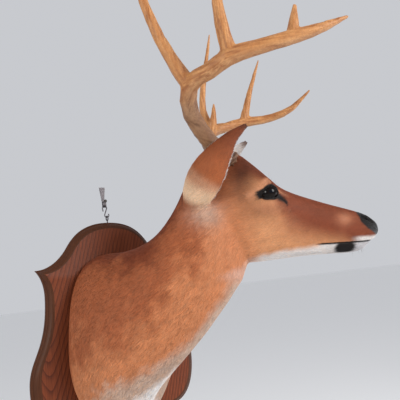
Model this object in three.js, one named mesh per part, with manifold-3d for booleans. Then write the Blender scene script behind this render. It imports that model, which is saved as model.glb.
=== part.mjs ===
// A white-tailed buck's shoulder mount on a shield-shaped oak plaque, life size, in millimetres.
// Origin: centre of the plaque's back face. +X is the deer's left, -Y points out of the wall, +Z is up.
import * as THREE from "three";
import { mergeVertices } from "three/addons/utils/BufferGeometryUtils.js";
import Module from "manifold-3d";

const wasm = await Module();
wasm.setup();

// ---- driving dimensions ----
const GAP = 0.3; // kept between neighbouring solids
const PLAQUE = { half: 182, top: 240, bottom: -240, tip: 162, tipZ: 147, waist: 145, thick: 20 };
const HEAD = { eye: [202, -307, 234], turn: 47, roll: 5 }; // its origin between the eyes, and its turn
const EYE = { radius: 17, side: 47, forward: 2, up: 1 };
const JAW = { back: 72, level: -105, slope: 0.07, height: 60 }; // below the mouth line, from its corner
const NOSE = { back: 165, level: -50, slope: -0.27, height: 52 };
const BEAM_SIDES = 10;
const TINE_SIDES = 8;
const HANGER = { x: -4, top: 322, bottom: 276, width: 14, tail: 5, thick: 1.6, trough: 9 };
const HOOK_OUT = HANGER.thick + HANGER.trough / 2; // how far out from the wall the hook and screw eye hang
const NAIL = { level: 288, out: 15, shank: 1.2, head: 3.6 };
const SCREW_EYE = { wire: 1.4, ring: 5, rise: 10 }; // rise: the ring's centre above the plaque's top point
const WIRE = 1.3;

const root = new THREE.Group();
root.name = "deer_shoulder_mount";
const headGroup = new THREE.Group();
headGroup.position.fromArray(HEAD.eye);
headGroup.rotation.set(
  0,
  -THREE.MathUtils.degToRad(HEAD.roll),
  THREE.MathUtils.degToRad(HEAD.turn),
  "ZYX",
);
headGroup.updateMatrix();
root.add(headGroup);

const finish = {
  coat: { color: 0x9a6238, roughness: 0.9, metalness: 0 },
  neckCoat: { color: 0xa8774c, roughness: 0.9, metalness: 0 },
  bodyCoat: { color: 0xa06f48, roughness: 0.9, metalness: 0 },
  chin: { color: 0xd8d0c2, roughness: 0.9, metalness: 0 },
  nose: { color: 0x1c1716, roughness: 0.5, metalness: 0 },
  eye: { color: 0x120a06, roughness: 0.05, metalness: 0 },
  antler: { color: 0xb8783c, roughness: 0.6, metalness: 0 },
  oak: { color: 0x6b3d20, roughness: 0.45, metalness: 0 },
  steel: { color: 0x8d9298, roughness: 0.35, metalness: 1 },
  nail: { color: 0x23201e, roughness: 0.5, metalness: 1 },
};

// ---- helpers ----
function addMesh(parent, name, geometry, look) {
  const mesh = new THREE.Mesh(geometry, new THREE.MeshStandardMaterial(look));
  mesh.name = name;
  parent.add(mesh);
  return mesh;
}

function toSolid(geometry) {
  const bare = new THREE.BufferGeometry();
  bare.setAttribute("position", geometry.getAttribute("position"));
  bare.setIndex(geometry.getIndex());
  const merged = mergeVertices(bare, 1e-3);
  return new wasm.Manifold(
    new wasm.Mesh({
      numProp: 3,
      vertProperties: merged.attributes.position.array,
      triVerts: new Uint32Array(merged.index.array),
    }),
  );
}

function toGeometry(solid) {
  const { vertProperties, triVerts } = solid.getMesh();
  const geometry = new THREE.BufferGeometry();
  geometry.setAttribute("position", new THREE.BufferAttribute(new Float32Array(vertProperties), 3));
  geometry.setIndex(new THREE.BufferAttribute(new Uint32Array(triVerts), 1));
  return geometry;
}

// A closed skin over rings that all hold the same number of points. Each end is capped by a fan
// round the middle of its ring, or by triangles of its outline where flatEnds is set.
function loft(rings, flatEnds = false) {
  const count = rings[0].length;
  const points = rings.flat();
  const index = [];
  for (let k = 0; k + 1 < rings.length; k += 1) {
    for (let i = 0; i < count; i += 1) {
      const a = k * count + i;
      const b = k * count + ((i + 1) % count);
      index.push(a, b, a + count, b, b + count, a + count);
    }
  }
  const last = (rings.length - 1) * count;
  if (flatEnds) {
    const ends = [rings[0], rings.at(-1)].map((ring) => ring.map((p) => new THREE.Vector2(p.x, p.z)));
    ends.forEach((outline, k) => {
      const round = Math.sign(THREE.ShapeUtils.area(outline));
      for (const corners of THREE.ShapeUtils.triangulateShape(outline, [])) {
        const way = Math.sign(THREE.ShapeUtils.area(corners.map((i) => outline[i])));
        const [a, b, c] = way === round ? corners : [...corners].reverse();
        index.push(...(k === 0 ? [c, b, a] : [last + a, last + b, last + c]));
      }
    });
  } else {
    const middle = (ring) =>
      ring.reduce((sum, p) => sum.add(p), new THREE.Vector3()).multiplyScalar(1 / count);
    const start = points.push(middle(rings[0])) - 1;
    const end = points.push(middle(rings.at(-1))) - 1;
    for (let i = 0; i < count; i += 1) {
      const next = (i + 1) % count;
      index.push(start, next, i, end, last + i, last + next);
    }
  }
  const geometry = new THREE.BufferGeometry().setFromPoints(points);
  geometry.setIndex(index);
  return orientOut(geometry);
}

// Turns every triangle over where the body came out inside out.
function orientOut(geometry) {
  const p = geometry.getAttribute("position");
  const index = geometry.getIndex().array;
  const [a, b, c] = [new THREE.Vector3(), new THREE.Vector3(), new THREE.Vector3()];
  let volume = 0;
  for (let i = 0; i < index.length; i += 3) {
    a.fromBufferAttribute(p, index[i]);
    b.fromBufferAttribute(p, index[i + 1]);
    c.fromBufferAttribute(p, index[i + 2]);
    volume += a.dot(b.cross(c));
  }
  if (volume < 0) {
    for (let i = 0; i < index.length; i += 3) {
      [index[i + 1], index[i + 2]] = [index[i + 2], index[i + 1]];
    }
  }
  return geometry;
}

// A smooth run through the rows: every number of a row is interpolated on the row's index.
function between(rows, place) {
  const k = Math.min(Math.floor(place), rows.length - 2);
  const t = place - k;
  const row = (i) => rows[THREE.MathUtils.clamp(i, 0, rows.length - 1)];
  const mix = (a, b, c, d) => {
    const start = (c - a) / 2;
    const stop = (d - b) / 2;
    const turn = 2 * b - 2 * c + start + stop;
    const bend = 3 * c - 3 * b - 2 * start - stop;
    return ((turn * t + bend) * t + start) * t + b;
  };
  const blended = {};
  for (const key of Object.keys(rows[0])) {
    const run = [row(k - 1)[key], row(k)[key], row(k + 1)[key], row(k + 2)[key]];
    blended[key] = Array.isArray(run[0])
      ? run[0].map((_, j) => mix(run[0][j], run[1][j], run[2][j], run[3][j]))
      : mix(...run);
  }
  return blended;
}

// Signed power, for rounded-box sections.
function bulge(value, power) {
  return Math.sign(value) * Math.abs(value) ** (2 / power);
}

// The half space in front of a plane, as one large block whose face keeps half the gap to the plane.
function halfSpace(point, normal, facing) {
  const size = 1600;
  const block = new THREE.BoxGeometry(size, size, size);
  block.translate(0, 0, facing * (size / 2 + GAP / 2));
  const turn = new THREE.Quaternion().setFromUnitVectors(
    new THREE.Vector3(0, 0, 1),
    normal.clone().normalize(),
  );
  block.applyQuaternion(turn);
  block.translate(point.x, point.y, point.z);
  return toSolid(block);
}

// A place on the head: millimetres forward of the eyes, to the deer's left and up.
function onHead(forward, left, up) {
  return new THREE.Vector3(left, -forward, up);
}

// ---- plaque ----
// The right half of the shield, from the top point down to the bottom point, and its mirror.
function shieldOutline() {
  const { half, top, bottom, tip, tipZ, waist } = PLAQUE;
  const edge = new THREE.Path();
  edge.moveTo(0, top);
  edge.bezierCurveTo(52, top, 76, top - 20, 96, top - 51);
  edge.bezierCurveTo(114, top - 79, 138, tipZ, tip, tipZ);
  edge.bezierCurveTo(tip - 11, tipZ - 12, waist, tipZ - 32, waist, tipZ - 52);
  edge.bezierCurveTo(waist, -10, half, -15, half, -72);
  edge.bezierCurveTo(half, -128, tip, -160, 136, -168);
  edge.bezierCurveTo(96, -178, 42, -200, 0, bottom);
  const right = edge.getPoints(5);
  const left = right.slice(1, -1).map((p) => new THREE.Vector2(-p.x, p.y));
  return [...right, ...left.reverse()];
}

// The outline drawn in towards the middle by about depth on every side.
function inset(outline, depth) {
  const { tip, top } = PLAQUE;
  return outline.map((p) => new THREE.Vector2(p.x * (1 - depth / tip), p.y * (1 - depth / top)));
}

// Each step of the moulded edge: how far in from the outline, and how far out from the wall.
const mouldedEdge = [
  [0, 0],
  [0, 7.5],
  [4.5, 9.5],
  [6, 13.5],
  [10, 18],
  [15, PLAQUE.thick],
];
const shield = shieldOutline();
const plaque = loft(
  mouldedEdge.map(([depth, out]) => inset(shield, depth).map((p) => new THREE.Vector3(p.x, -out, p.y))),
  true,
);
addMesh(root, "plaque", plaque, finish.oak);

// ---- body: shoulder and neck ----
// Each row is one slice, from the plaque to the throat: its dorsal and ventral points, half its
// width, the level of its widest part (0 at the belly side, 1 at the back), how square its two
// halves are, and the bearing of its crosswise axis in degrees.
const bodySlices = [
  { back: [-6, -20.3, 172], front: [-10, -20.3, -188], half: 100, wide: 0.52, high: 2.7, low: 2, turn: 0 },
  { back: [-4, -48, 170], front: [-18, -54, -192], half: 111, wide: 0.5, high: 2.5, low: 1.9, turn: 2 },
  { back: [9, -86, 168], front: [-18, -94, -174], half: 115, wide: 0.48, high: 2.3, low: 1.75, turn: 8 },
  { back: [30, -122, 174], front: [-16, -137, -122], half: 102, wide: 0.48, high: 2.2, low: 1.65, turn: 18 },
  { back: [52, -158, 194], front: [46, -212, -38], half: 93, wide: 0.5, high: 2.1, low: 1.7, turn: 29 },
  { back: [72, -186, 240], front: [131, -267, 62], half: 82, wide: 0.5, high: 2, low: 1.9, turn: 39 },
  { back: [90, -208, 288], front: [169, -269, 116], half: 66, wide: 0.5, high: 2, low: 2, turn: 46 },
  { back: [128, -246, 292], front: [192, -290, 146], half: 40, wide: 0.5, high: 2, low: 2, turn: 47 },
];
const BODY_SIDES = 32;
const BODY_RINGS = 17;

function bodyRing(place) {
  const slice = between(bodySlices, place);
  const back = new THREE.Vector3().fromArray(slice.back);
  const front = new THREE.Vector3().fromArray(slice.front);
  const bearing = THREE.MathUtils.degToRad(slice.turn);
  const across = new THREE.Vector3(Math.cos(bearing), Math.sin(bearing), 0);
  return Array.from({ length: BODY_SIDES }, (_, i) => {
    const angle = (2 * Math.PI * i) / BODY_SIDES;
    const up = Math.cos(angle);
    const power = up > 0 ? slice.high : slice.low;
    const level = slice.wide + bulge(up, power) * (up > 0 ? 1 - slice.wide : slice.wide);
    const side = slice.half * bulge(Math.sin(angle), power);
    return front.clone().lerp(back, level).addScaledVector(across, side);
  });
}

const body = toSolid(
  loft(
    Array.from({ length: BODY_RINGS }, (_, i) =>
      bodyRing((i / (BODY_RINGS - 1)) * (bodySlices.length - 1)),
    ),
  ),
);

// ---- head ----
// Each row is one upright slice of the head: its distance forward of the eyes, the levels of its
// top, its widest part and its underside, half its width, and how square its two halves are.
const headSlices = [
  { at: -132, top: 66, wide: -10, bottom: -70, half: 44, high: 2, low: 2 },
  { at: -112, top: 88, wide: -10, bottom: -100, half: 54, high: 2, low: 2.1 },
  { at: -85, top: 97, wide: -12, bottom: -118, half: 59, high: 2, low: 2.2 },
  { at: -60, top: 95, wide: -14, bottom: -124, half: 60, high: 2.1, low: 2.3 },
  { at: -37, top: 84, wide: -10, bottom: -126, half: 60, high: 2.3, low: 2.3 },
  { at: -15, top: 60, wide: -3, bottom: -126, half: 62, high: 2.7, low: 2.1 },
  { at: 5, top: 36, wide: -5, bottom: -126, half: 61, high: 2.9, low: 2 },
  { at: 25, top: 14, wide: -22, bottom: -126, half: 53, high: 2.5, low: 2.1 },
  { at: 48, top: -1, wide: -42, bottom: -126, half: 44, high: 2.2, low: 2.1 },
  { at: 78, top: -16, wide: -60, bottom: -127, half: 36, high: 2.1, low: 2.1 },
  { at: 110, top: -31, wide: -72, bottom: -129, half: 32, high: 2.1, low: 2.1 },
  { at: 140, top: -44, wide: -80, bottom: -131, half: 29, high: 2.2, low: 2 },
  { at: 160, top: -53, wide: -82, bottom: -127, half: 28, high: 2.4, low: 1.9 },
  { at: 176, top: -61, wide: -84, bottom: -117, half: 25, high: 2.5, low: 1.8 },
  { at: 188, top: -69, wide: -86, bottom: -108, half: 18, high: 2.4, low: 1.8 },
  { at: 196, top: -80, wide: -90, bottom: -99, half: 9, high: 2, low: 2 },
];
const HEAD_SIDES = 26;
const HEAD_RINGS = 27;

function headRing(place, swell = 0) {
  const slice = between(headSlices, place);
  return Array.from({ length: HEAD_SIDES }, (_, i) => {
    const angle = (2 * Math.PI * i) / HEAD_SIDES;
    const rise = Math.cos(angle);
    const power = rise > 0 ? slice.high : slice.low;
    const reach = (rise > 0 ? slice.top - slice.wide : slice.wide - slice.bottom) + swell;
    const up = slice.wide + reach * bulge(rise, power);
    return onHead(slice.at, (slice.half + swell) * bulge(Math.sin(angle), power), up);
  });
}

function headSolid(swell = 0) {
  const rings = Array.from({ length: HEAD_RINGS }, (_, i) =>
    headRing((i / (HEAD_RINGS - 1)) * (headSlices.length - 1), swell),
  );
  return toSolid(loft(rings));
}

function eyeGeometry(side, swell = 0) {
  const ball = new THREE.SphereGeometry(EYE.radius + swell, 16, 10);
  const place = onHead(EYE.forward, side * EYE.side, EYE.up);
  ball.translate(place.x, place.y, place.z);
  return ball;
}

// A block on the head from back to well past the nose, tilted nose down by slope (in radians) about
// its back upper edge, and grown on every side by swell.
function muzzleBlock({ back, level, slope, height }, swell) {
  const length = 200;
  const block = new THREE.BoxGeometry(160, length + 2 * swell, height + 2 * swell);
  block.translate(0, -length / 2, -height / 2);
  block.rotateX(slope);
  const corner = onHead(back, 0, level);
  block.translate(corner.x, corner.y, corner.z);
  return toSolid(block);
}

function moved(solid, matrix) {
  return toSolid(toGeometry(solid).applyMatrix4(matrix));
}

const toWorld = headGroup.matrix;
const toHead = toWorld.clone().invert();

const SIDES = { left: 1, right: -1 };
let headFlesh = headSolid();
for (const [name, side] of Object.entries(SIDES)) {
  headFlesh = headFlesh.subtract(toSolid(eyeGeometry(side, GAP)));
  addMesh(headGroup, `eye_${name}`, eyeGeometry(side), finish.eye);
}
const nose = moved(headFlesh.intersect(muzzleBlock(NOSE, 0)), toWorld);
const jaw = moved(headFlesh.intersect(muzzleBlock(JAW, 0)), toWorld);
headFlesh = headFlesh.subtract(muzzleBlock(NOSE, GAP)).subtract(muzzleBlock(JAW, GAP));

// Head, neck and shoulder are one body, parted by two plane cuts.
const whole = moved(headFlesh, toWorld).add(body);
const cuts = {
  head: [new THREE.Vector3(100, -240, 170), new THREE.Vector3(0.72, -0.69, 0.25)],
  neck: [new THREE.Vector3(26, -150, 40), new THREE.Vector3(0.32, -0.8, 0.52)],
};
const fromHead = (facing) => halfSpace(...cuts.head, facing);
const fromNeck = (facing) => halfSpace(...cuts.neck, facing);
addMesh(root, "head", toGeometry(whole.intersect(fromHead(1))), finish.coat);
addMesh(root, "neck", toGeometry(whole.intersect(fromHead(-1)).intersect(fromNeck(1))), finish.neckCoat);
addMesh(root, "shoulder", toGeometry(whole.intersect(fromNeck(-1))), finish.bodyCoat);
addMesh(root, "lower_jaw", toGeometry(jaw), finish.chin);
addMesh(root, "nose", toGeometry(nose), finish.nose);

// The flesh round the head grown by the gap, in the head's own frame: ears and antlers stand on it.
const fleshRoundHead = headSolid(GAP).add(moved(body, toHead));

// ---- ears ----
// Each row is one slice of the ear, from root to tip: its place on the head, half its width, how deep
// it is cupped, and the thickness of its wall. The hollow closes towards the root.
const earSlices = [
  { at: [-138, 42, -8], half: 18, depth: 24, wall: 9, hollow: 0 },
  { at: [-127, 57, 16], half: 31, depth: 30, wall: 8, hollow: 0.35 },
  { at: [-110, 71, 39], half: 37, depth: 30, wall: 6, hollow: 0.8 },
  { at: [-91, 82, 62], half: 33.5, depth: 25, wall: 5, hollow: 1 },
  { at: [-71, 89, 84], half: 24.5, depth: 17, wall: 4.5, hollow: 1 },
  { at: [-48, 93, 106], half: 14, depth: 9, wall: 4, hollow: 1 },
  { at: [-20, 93, 123], half: 4.5, depth: 4, wall: 2, hollow: 0.4 },
];
const EAR_FACES = { inwards: 0.9, forwards: 0.44 }; // where the cup opens
const EAR_PERK = { right: 1, left: 1.08 }; // how high each ear is carried
const EAR_POINTS = 8; // across one face
const EAR_RINGS = 13;

function earSolid(side, perk) {
  const place = (row) => onHead(row.at[0], side * row.at[1], row.at[2] * perk);
  const opening = onHead(EAR_FACES.forwards, -side * EAR_FACES.inwards, 0).normalize();
  const rings = Array.from({ length: EAR_RINGS }, (_, k) => {
    const t = (k / (EAR_RINGS - 1)) * (earSlices.length - 1);
    const row = between(earSlices, t);
    const along = place(between(earSlices, Math.min(t + 0.2, earSlices.length - 1)))
      .sub(place(between(earSlices, Math.max(t - 0.2, 0))))
      .normalize();
    const behind = opening.clone().addScaledVector(along, -opening.dot(along)).normalize().negate();
    const across = new THREE.Vector3().crossVectors(along, behind);
    const point = (u, half, depth, back) =>
      place(row)
        .addScaledVector(across, half * u)
        .addScaledVector(behind, depth * Math.sqrt(1 - u * u) + back);
    const ring = [];
    for (let i = 0; i <= EAR_POINTS; i += 1) {
      ring.push(point(-Math.cos((Math.PI * i) / EAR_POINTS), row.half, row.depth, 0));
    }
    const inner = (row.depth - row.wall) * row.hollow;
    for (let i = 0; i <= EAR_POINTS; i += 1) {
      ring.push(point(Math.cos((Math.PI * i) / EAR_POINTS), row.half - row.wall * 0.5, inner, -0.5));
    }
    return ring;
  });
  return toSolid(loft(rings));
}

for (const [name, side] of Object.entries(SIDES)) {
  const ear = earSolid(side, EAR_PERK[name]).subtract(fleshRoundHead);
  addMesh(headGroup, `ear_${name}`, toGeometry(ear), finish.coat);
}

// ---- antlers ----
// Each row is a place on the head (forward, outwards, up) and the antler's radius there.
const ROOT_ROWS = [
  { at: [-53, 24, 48], r: 15.5 },
  { at: [-68, 38, 86], r: 16 },
];
const BURR = { at: 0.78, radius: 21.5, height: 9 }; // the rough collar round the foot of the beam
const WEB = { radius: 3.5, at: 0.5 }; // how much thicker a tine is at this row, just outside the beam
const antlers = {
  right: {
    side: -1,
    beam: [
      ...ROOT_ROWS,
      { at: [-92, 66, 111], r: 15.4 },
      { at: [-113, 124, 150], r: 14.4 },
      { at: [-105, 162, 187], r: 15 },
      { at: [-68, 186, 196], r: 13.2 },
      { at: [-33, 202, 207], r: 13.6 },
      { at: [14, 208, 211], r: 11.4 },
      { at: [65, 205, 218], r: 10.8 },
      { at: [110, 198, 227], r: 7.8 },
      { at: [155, 186, 243], r: 2 },
    ],
    splits: [4.45, 6.4],
    tines: {
      g2: [
        { at: [-105, 160, 187], r: 9.5 },
        { at: [-120, 168, 214], r: 9.6 },
        { at: [-142, 178, 266], r: 8.6 },
        { at: [-161, 184, 334], r: 7 },
        { at: [-169, 181, 388], r: 4.5 },
        { at: [-170, 175, 430], r: 1.4 },
      ],
      g3: [
        { at: [-33, 202, 207], r: 8.8 },
        { at: [-37, 203, 238], r: 8.4 },
        { at: [-41, 204, 296], r: 7.8 },
        { at: [-33, 199, 350], r: 5 },
        { at: [-25, 193, 394], r: 1.4 },
      ],
      g4: [
        { at: [64, 205, 218], r: 6.4 },
        { at: [70, 203, 241], r: 5 },
        { at: [77, 197, 271], r: 1.4 },
      ],
    },
  },
  left: {
    side: 1,
    beam: [
      ...ROOT_ROWS,
      { at: [-92, 66, 113], r: 15 },
      { at: [-109, 128, 152], r: 14 },
      { at: [-96, 164, 186], r: 14 },
      { at: [-58, 188, 197], r: 11.6 },
      { at: [-17, 203, 206], r: 12 },
      { at: [38, 207, 206], r: 9.6 },
      { at: [96, 196, 216], r: 7.4 },
      { at: [147, 176, 250], r: 1.8 },
    ],
    splits: [4.45, 6.4],
    tines: {
      g1: [
        { at: [-99, 154, 178], r: 8 },
        { at: [-92, 150, 200], r: 7 },
        { at: [-86, 149, 224], r: 4.8 },
        { at: [-83, 150, 248], r: 1.4 },
      ],
      g2: [
        { at: [-96, 164, 186], r: 9 },
        { at: [-104, 168, 206], r: 8.5 },
        { at: [-112, 171, 246], r: 7.4 },
        { at: [-104, 172, 300], r: 6.4 },
        { at: [-86, 167, 365], r: 4.6 },
        { at: [-70, 160, 424], r: 1.3 },
      ],
      g3: [
        { at: [-17, 203, 206], r: 8.5 },
        { at: [-10, 204, 230], r: 6.8 },
        { at: [8, 203, 280], r: 5.2 },
        { at: [40, 196, 353], r: 1.3 },
      ],
    },
  },
};
const RINGS_PER_ROW = 2;
const END_GAP = 0.4;

// A tapered branch through the rows, from one row number to another, its radius grown by swell
// all the way and by web where it leaves the beam.
function branch(rows, side, sides, from, to, swell = 0, web = 0) {
  const place = (t) => {
    const { at } = between(rows, t);
    return onHead(at[0], side * at[1], at[2]);
  };
  const count = Math.ceil((to - from) * RINGS_PER_ROW);
  const stops = Array.from({ length: count + 1 }, (_, i) => from + ((to - from) * i) / count);
  const normal = new THREE.Vector3(0, 1, 0);
  const rings = stops.map((t) => {
    const along = place(Math.min(t + 0.05, rows.length - 1)).sub(place(Math.max(t - 0.05, 0))).normalize();
    normal.addScaledVector(along, -normal.dot(along)).normalize();
    const across = new THREE.Vector3().crossVectors(along, normal);
    const radius = between(rows, t).r + swell + web * (t / WEB.at) * Math.exp(1 - t / WEB.at);
    return Array.from({ length: sides }, (_, i) => {
      const angle = (2 * Math.PI * i) / sides;
      return place(t)
        .addScaledVector(normal, radius * Math.cos(angle))
        .addScaledVector(across, radius * Math.sin(angle));
    });
  });
  return toSolid(loft(rings));
}

function burrSolid(beam, side) {
  const { at, radius, height } = BURR;
  const place = (t) => {
    const row = between(beam, t).at;
    return onHead(row[0], side * row[1], row[2]);
  };
  const profile = [
    [0, -height / 2],
    [radius * 0.85, -height / 2],
    [radius, -height / 4],
    [radius, height / 5],
    [radius * 0.78, height / 2],
    [0, height / 2],
  ].map(([x, y]) => new THREE.Vector2(x, y));
  const collar = new THREE.LatheGeometry(profile, 16);
  const along = place(at + 0.1).sub(place(at - 0.1)).normalize();
  collar.applyQuaternion(new THREE.Quaternion().setFromUnitVectors(new THREE.Vector3(0, 1, 0), along));
  collar.translate(...place(at).toArray());
  return toSolid(collar);
}

for (const [name, { side, beam, splits, tines }] of Object.entries(antlers)) {
  const end = beam.length - 1;
  const spots = [0, ...splits, end];
  const gapAt = (t) => {
    const [a, b] = [between(beam, t - 0.05).at, between(beam, t + 0.05).at];
    return (END_GAP * 0.1) / Math.hypot(a[0] - b[0], a[1] - b[1], a[2] - b[2]);
  };
  let taken = branch(beam, side, BEAM_SIDES, 0, end, 3 * GAP);
  ["base", "middle", "tip"].forEach((stretch, i) => {
    const from = i === 0 ? 0 : spots[i] + gapAt(spots[i]);
    let piece = branch(beam, side, BEAM_SIDES, from, spots[i + 1]);
    if (i === 0) {
      piece = piece.add(burrSolid(beam, side)).subtract(fleshRoundHead);
    }
    addMesh(headGroup, `antler_${name}_beam_${stretch}`, toGeometry(piece), finish.antler);
  });
  for (const [tine, rows] of Object.entries(tines)) {
    const piece = branch(rows, side, TINE_SIDES, 0, rows.length - 1, 0, WEB.radius).subtract(taken);
    addMesh(headGroup, `antler_${name}_${tine}`, toGeometry(piece), finish.antler);
    taken = taken.add(branch(rows, side, TINE_SIDES, 0, rows.length - 1, GAP, WEB.radius));
  }
}

// ---- hanging hardware ----
// The hanger is a J bent from strip that tapers downwards: its side profile cut to its front outline.
function hangerPlate() {
  const { x, top, bottom, width, tail, thick, trough } = HANGER;
  const side = new THREE.Shape();
  side.moveTo(0, top);
  side.lineTo(thick, top);
  side.lineTo(thick, bottom + trough / 2);
  side.absarc(trough / 2 + thick, bottom + trough / 2, trough / 2, Math.PI, 2 * Math.PI, false);
  side.lineTo(trough + thick, bottom + trough);
  side.lineTo(trough + 2 * thick, bottom + trough);
  side.absarc(trough / 2 + thick, bottom + trough / 2, trough / 2 + thick, 0, -Math.PI, true);
  const strip = new THREE.ExtrudeGeometry(side, { depth: width, bevelEnabled: false, curveSegments: 8 });
  // the profile's first axis points out of the wall, and its extrusion runs along X
  strip.applyMatrix4(new THREE.Matrix4().set(0, 0, -1, x + width / 2, -1, 0, 0, 0, 0, 1, 0, 0, 0, 0, 0, 1));
  const front = new THREE.Shape();
  front.moveTo(x - width / 2 + 0.01, top + 1);
  front.lineTo(x + width / 2 - 0.01, top + 1);
  front.lineTo(x + tail / 2, bottom + trough + 3);
  front.lineTo(x + tail / 2, bottom - trough);
  front.lineTo(x - tail / 2, bottom - trough);
  front.lineTo(x - tail / 2, bottom + trough + 3);
  const frontCut = new THREE.ExtrudeGeometry(front, { depth: 40, bevelEnabled: false });
  frontCut.rotateX(Math.PI / 2);
  frontCut.translate(0, 10, 0);
  return toGeometry(toSolid(strip).intersect(toSolid(frontCut)));
}

// A wire bent into an S: its upper loop lies in the hanger's trough, its lower one in the screw eye.
function wireHook() {
  const radius = SCREW_EYE.ring;
  const lowest = PLAQUE.top + SCREW_EYE.rise + SCREW_EYE.ring - SCREW_EYE.wire - WIRE - GAP;
  const low = { x: 0, z: lowest + radius, angles: [40, 0, -45, -90, -135, -175] };
  const inner = radius - WIRE;
  const dip = inner - Math.sqrt(inner ** 2 - (HANGER.tail / 2) ** 2); // over the edges of the strip
  const highest = HANGER.bottom + WIRE + GAP + dip;
  const high = { x: HANGER.x, z: highest - radius, angles: [5, 45, 90, 135, 180] };
  const points = [low, high].flatMap(({ x, z, angles }) =>
    angles.map((degrees) => {
      const angle = THREE.MathUtils.degToRad(degrees);
      return new THREE.Vector3(x + radius * Math.cos(angle), -HOOK_OUT, z + radius * Math.sin(angle));
    }),
  );
  points.push(new THREE.Vector3(high.x - radius + 1, -HOOK_OUT, high.z - 8));
  const section = new THREE.Shape().absarc(0, 0, WIRE, 0, 2 * Math.PI);
  return new THREE.ExtrudeGeometry(section, {
    extrudePath: new THREE.CatmullRomCurve3(points, false, "centripetal"),
    steps: 26,
    curveSegments: 4,
    bevelEnabled: false,
  });
}

function screwEye() {
  const ring = new THREE.TorusGeometry(SCREW_EYE.ring, SCREW_EYE.wire, 6, 18);
  ring.rotateY(Math.PI / 2);
  ring.translate(0, -HOOK_OUT, PLAQUE.top + SCREW_EYE.rise);
  const length = SCREW_EYE.rise - SCREW_EYE.ring;
  const shank = new THREE.CylinderGeometry(SCREW_EYE.wire, SCREW_EYE.wire, length - GAP, 8);
  shank.rotateX(Math.PI / 2);
  shank.translate(0, -HOOK_OUT, PLAQUE.top + GAP + (length - GAP) / 2);
  return toGeometry(toSolid(ring).add(toSolid(shank)));
}

function hangerNail() {
  const { level, out, shank, head } = NAIL;
  const start = HANGER.thick + GAP;
  const profile = [
    [0, start],
    [shank, start],
    [shank, out - 1.4],
    [head, out - 1.4],
    [head, out - 0.5],
    [head * 0.6, out],
    [0, out],
  ].map(([x, y]) => new THREE.Vector2(x, y));
  const nail = new THREE.LatheGeometry(profile, 12);
  nail.rotateX(Math.PI);
  nail.translate(HANGER.x, 0, level);
  return toGeometry(toSolid(nail));
}

addMesh(root, "hanger_plate", hangerPlate(), finish.steel);
addMesh(root, "hanger_nail", hangerNail(), finish.nail);
addMesh(root, "wire_hook", wireHook(), finish.steel);
addMesh(root, "screw_eye", screwEye(), finish.steel);

export default root;
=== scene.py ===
import math

import bmesh
import bpy
import numpy as np
from mathutils import Matrix, Vector, noise
from mathutils.bvhtree import BVHTree


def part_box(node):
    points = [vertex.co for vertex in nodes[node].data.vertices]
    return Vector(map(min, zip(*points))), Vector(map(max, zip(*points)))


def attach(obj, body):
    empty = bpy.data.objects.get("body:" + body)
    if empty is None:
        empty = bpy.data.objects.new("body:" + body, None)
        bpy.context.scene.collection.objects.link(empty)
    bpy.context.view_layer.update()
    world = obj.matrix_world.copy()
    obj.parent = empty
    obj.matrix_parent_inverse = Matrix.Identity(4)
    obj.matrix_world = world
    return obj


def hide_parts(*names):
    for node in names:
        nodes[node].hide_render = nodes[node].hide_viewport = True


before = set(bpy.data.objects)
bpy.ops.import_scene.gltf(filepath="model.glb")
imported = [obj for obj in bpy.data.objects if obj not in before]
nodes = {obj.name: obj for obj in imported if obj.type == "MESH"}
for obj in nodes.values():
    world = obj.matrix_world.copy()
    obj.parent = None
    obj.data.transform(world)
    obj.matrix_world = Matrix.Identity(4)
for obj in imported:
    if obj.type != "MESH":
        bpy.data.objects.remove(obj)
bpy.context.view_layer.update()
scene = bpy.context.scene
mm = 0.001


# camera, light and stage

cameraPlan = {"lens": 38.7, "place": (-0.403, -0.893, 0.090), "yaw": 53, "pitch": 10.4, "roll": 7.3}
stagePlan = {
    "floorLevel": -0.75,
    "floorReach": 40,
    "paper": (0.93, 0.93, 0.93),
    "sky": (0.93, 0.95, 1.0),
    "skyStrength": 0.62,
    # each lamp's place, what it points at, its width, power in watts and colour
    "lamps": {
        "window_front": ((0.9, -2.7, 0.9), (0.1, -0.2, 0.1), 1.3, 60, (1.0, 0.97, 0.93)),
        "window_side": ((-2.3, -0.7, 0.7), (0.0, -0.1, 0.1), 0.8, 26, (1.0, 0.95, 0.88)),
        "room_right": ((2.2, -1.0, -0.6), (0.1, -0.2, 0.1), 1.8, 20, (0.90, 0.95, 1.0)),
    },
}


def makeCamera(plan):
    yaw, pitch, roll = (math.radians(plan[word]) for word in ("yaw", "pitch", "roll"))
    level = Vector((math.cos(yaw), math.sin(yaw), 0))
    ahead = level * math.cos(pitch) + Vector((0, 0, math.sin(pitch)))
    side = Vector((math.sin(yaw), -math.cos(yaw), 0))
    above = side.cross(ahead)
    right = side * math.cos(roll) - above * math.sin(roll)
    up = side * math.sin(roll) + above * math.cos(roll)
    data = bpy.data.cameras.new("camera")
    data.lens = plan["lens"]
    data.sensor_width = 36
    data.clip_start = 0.02
    camera = bpy.data.objects.new("camera", data)
    turned = Matrix((right, up, -ahead)).transposed().to_4x4()
    camera.matrix_world = Matrix.Translation(plan["place"]) @ turned
    scene.collection.objects.link(camera)
    scene.camera = camera


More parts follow.
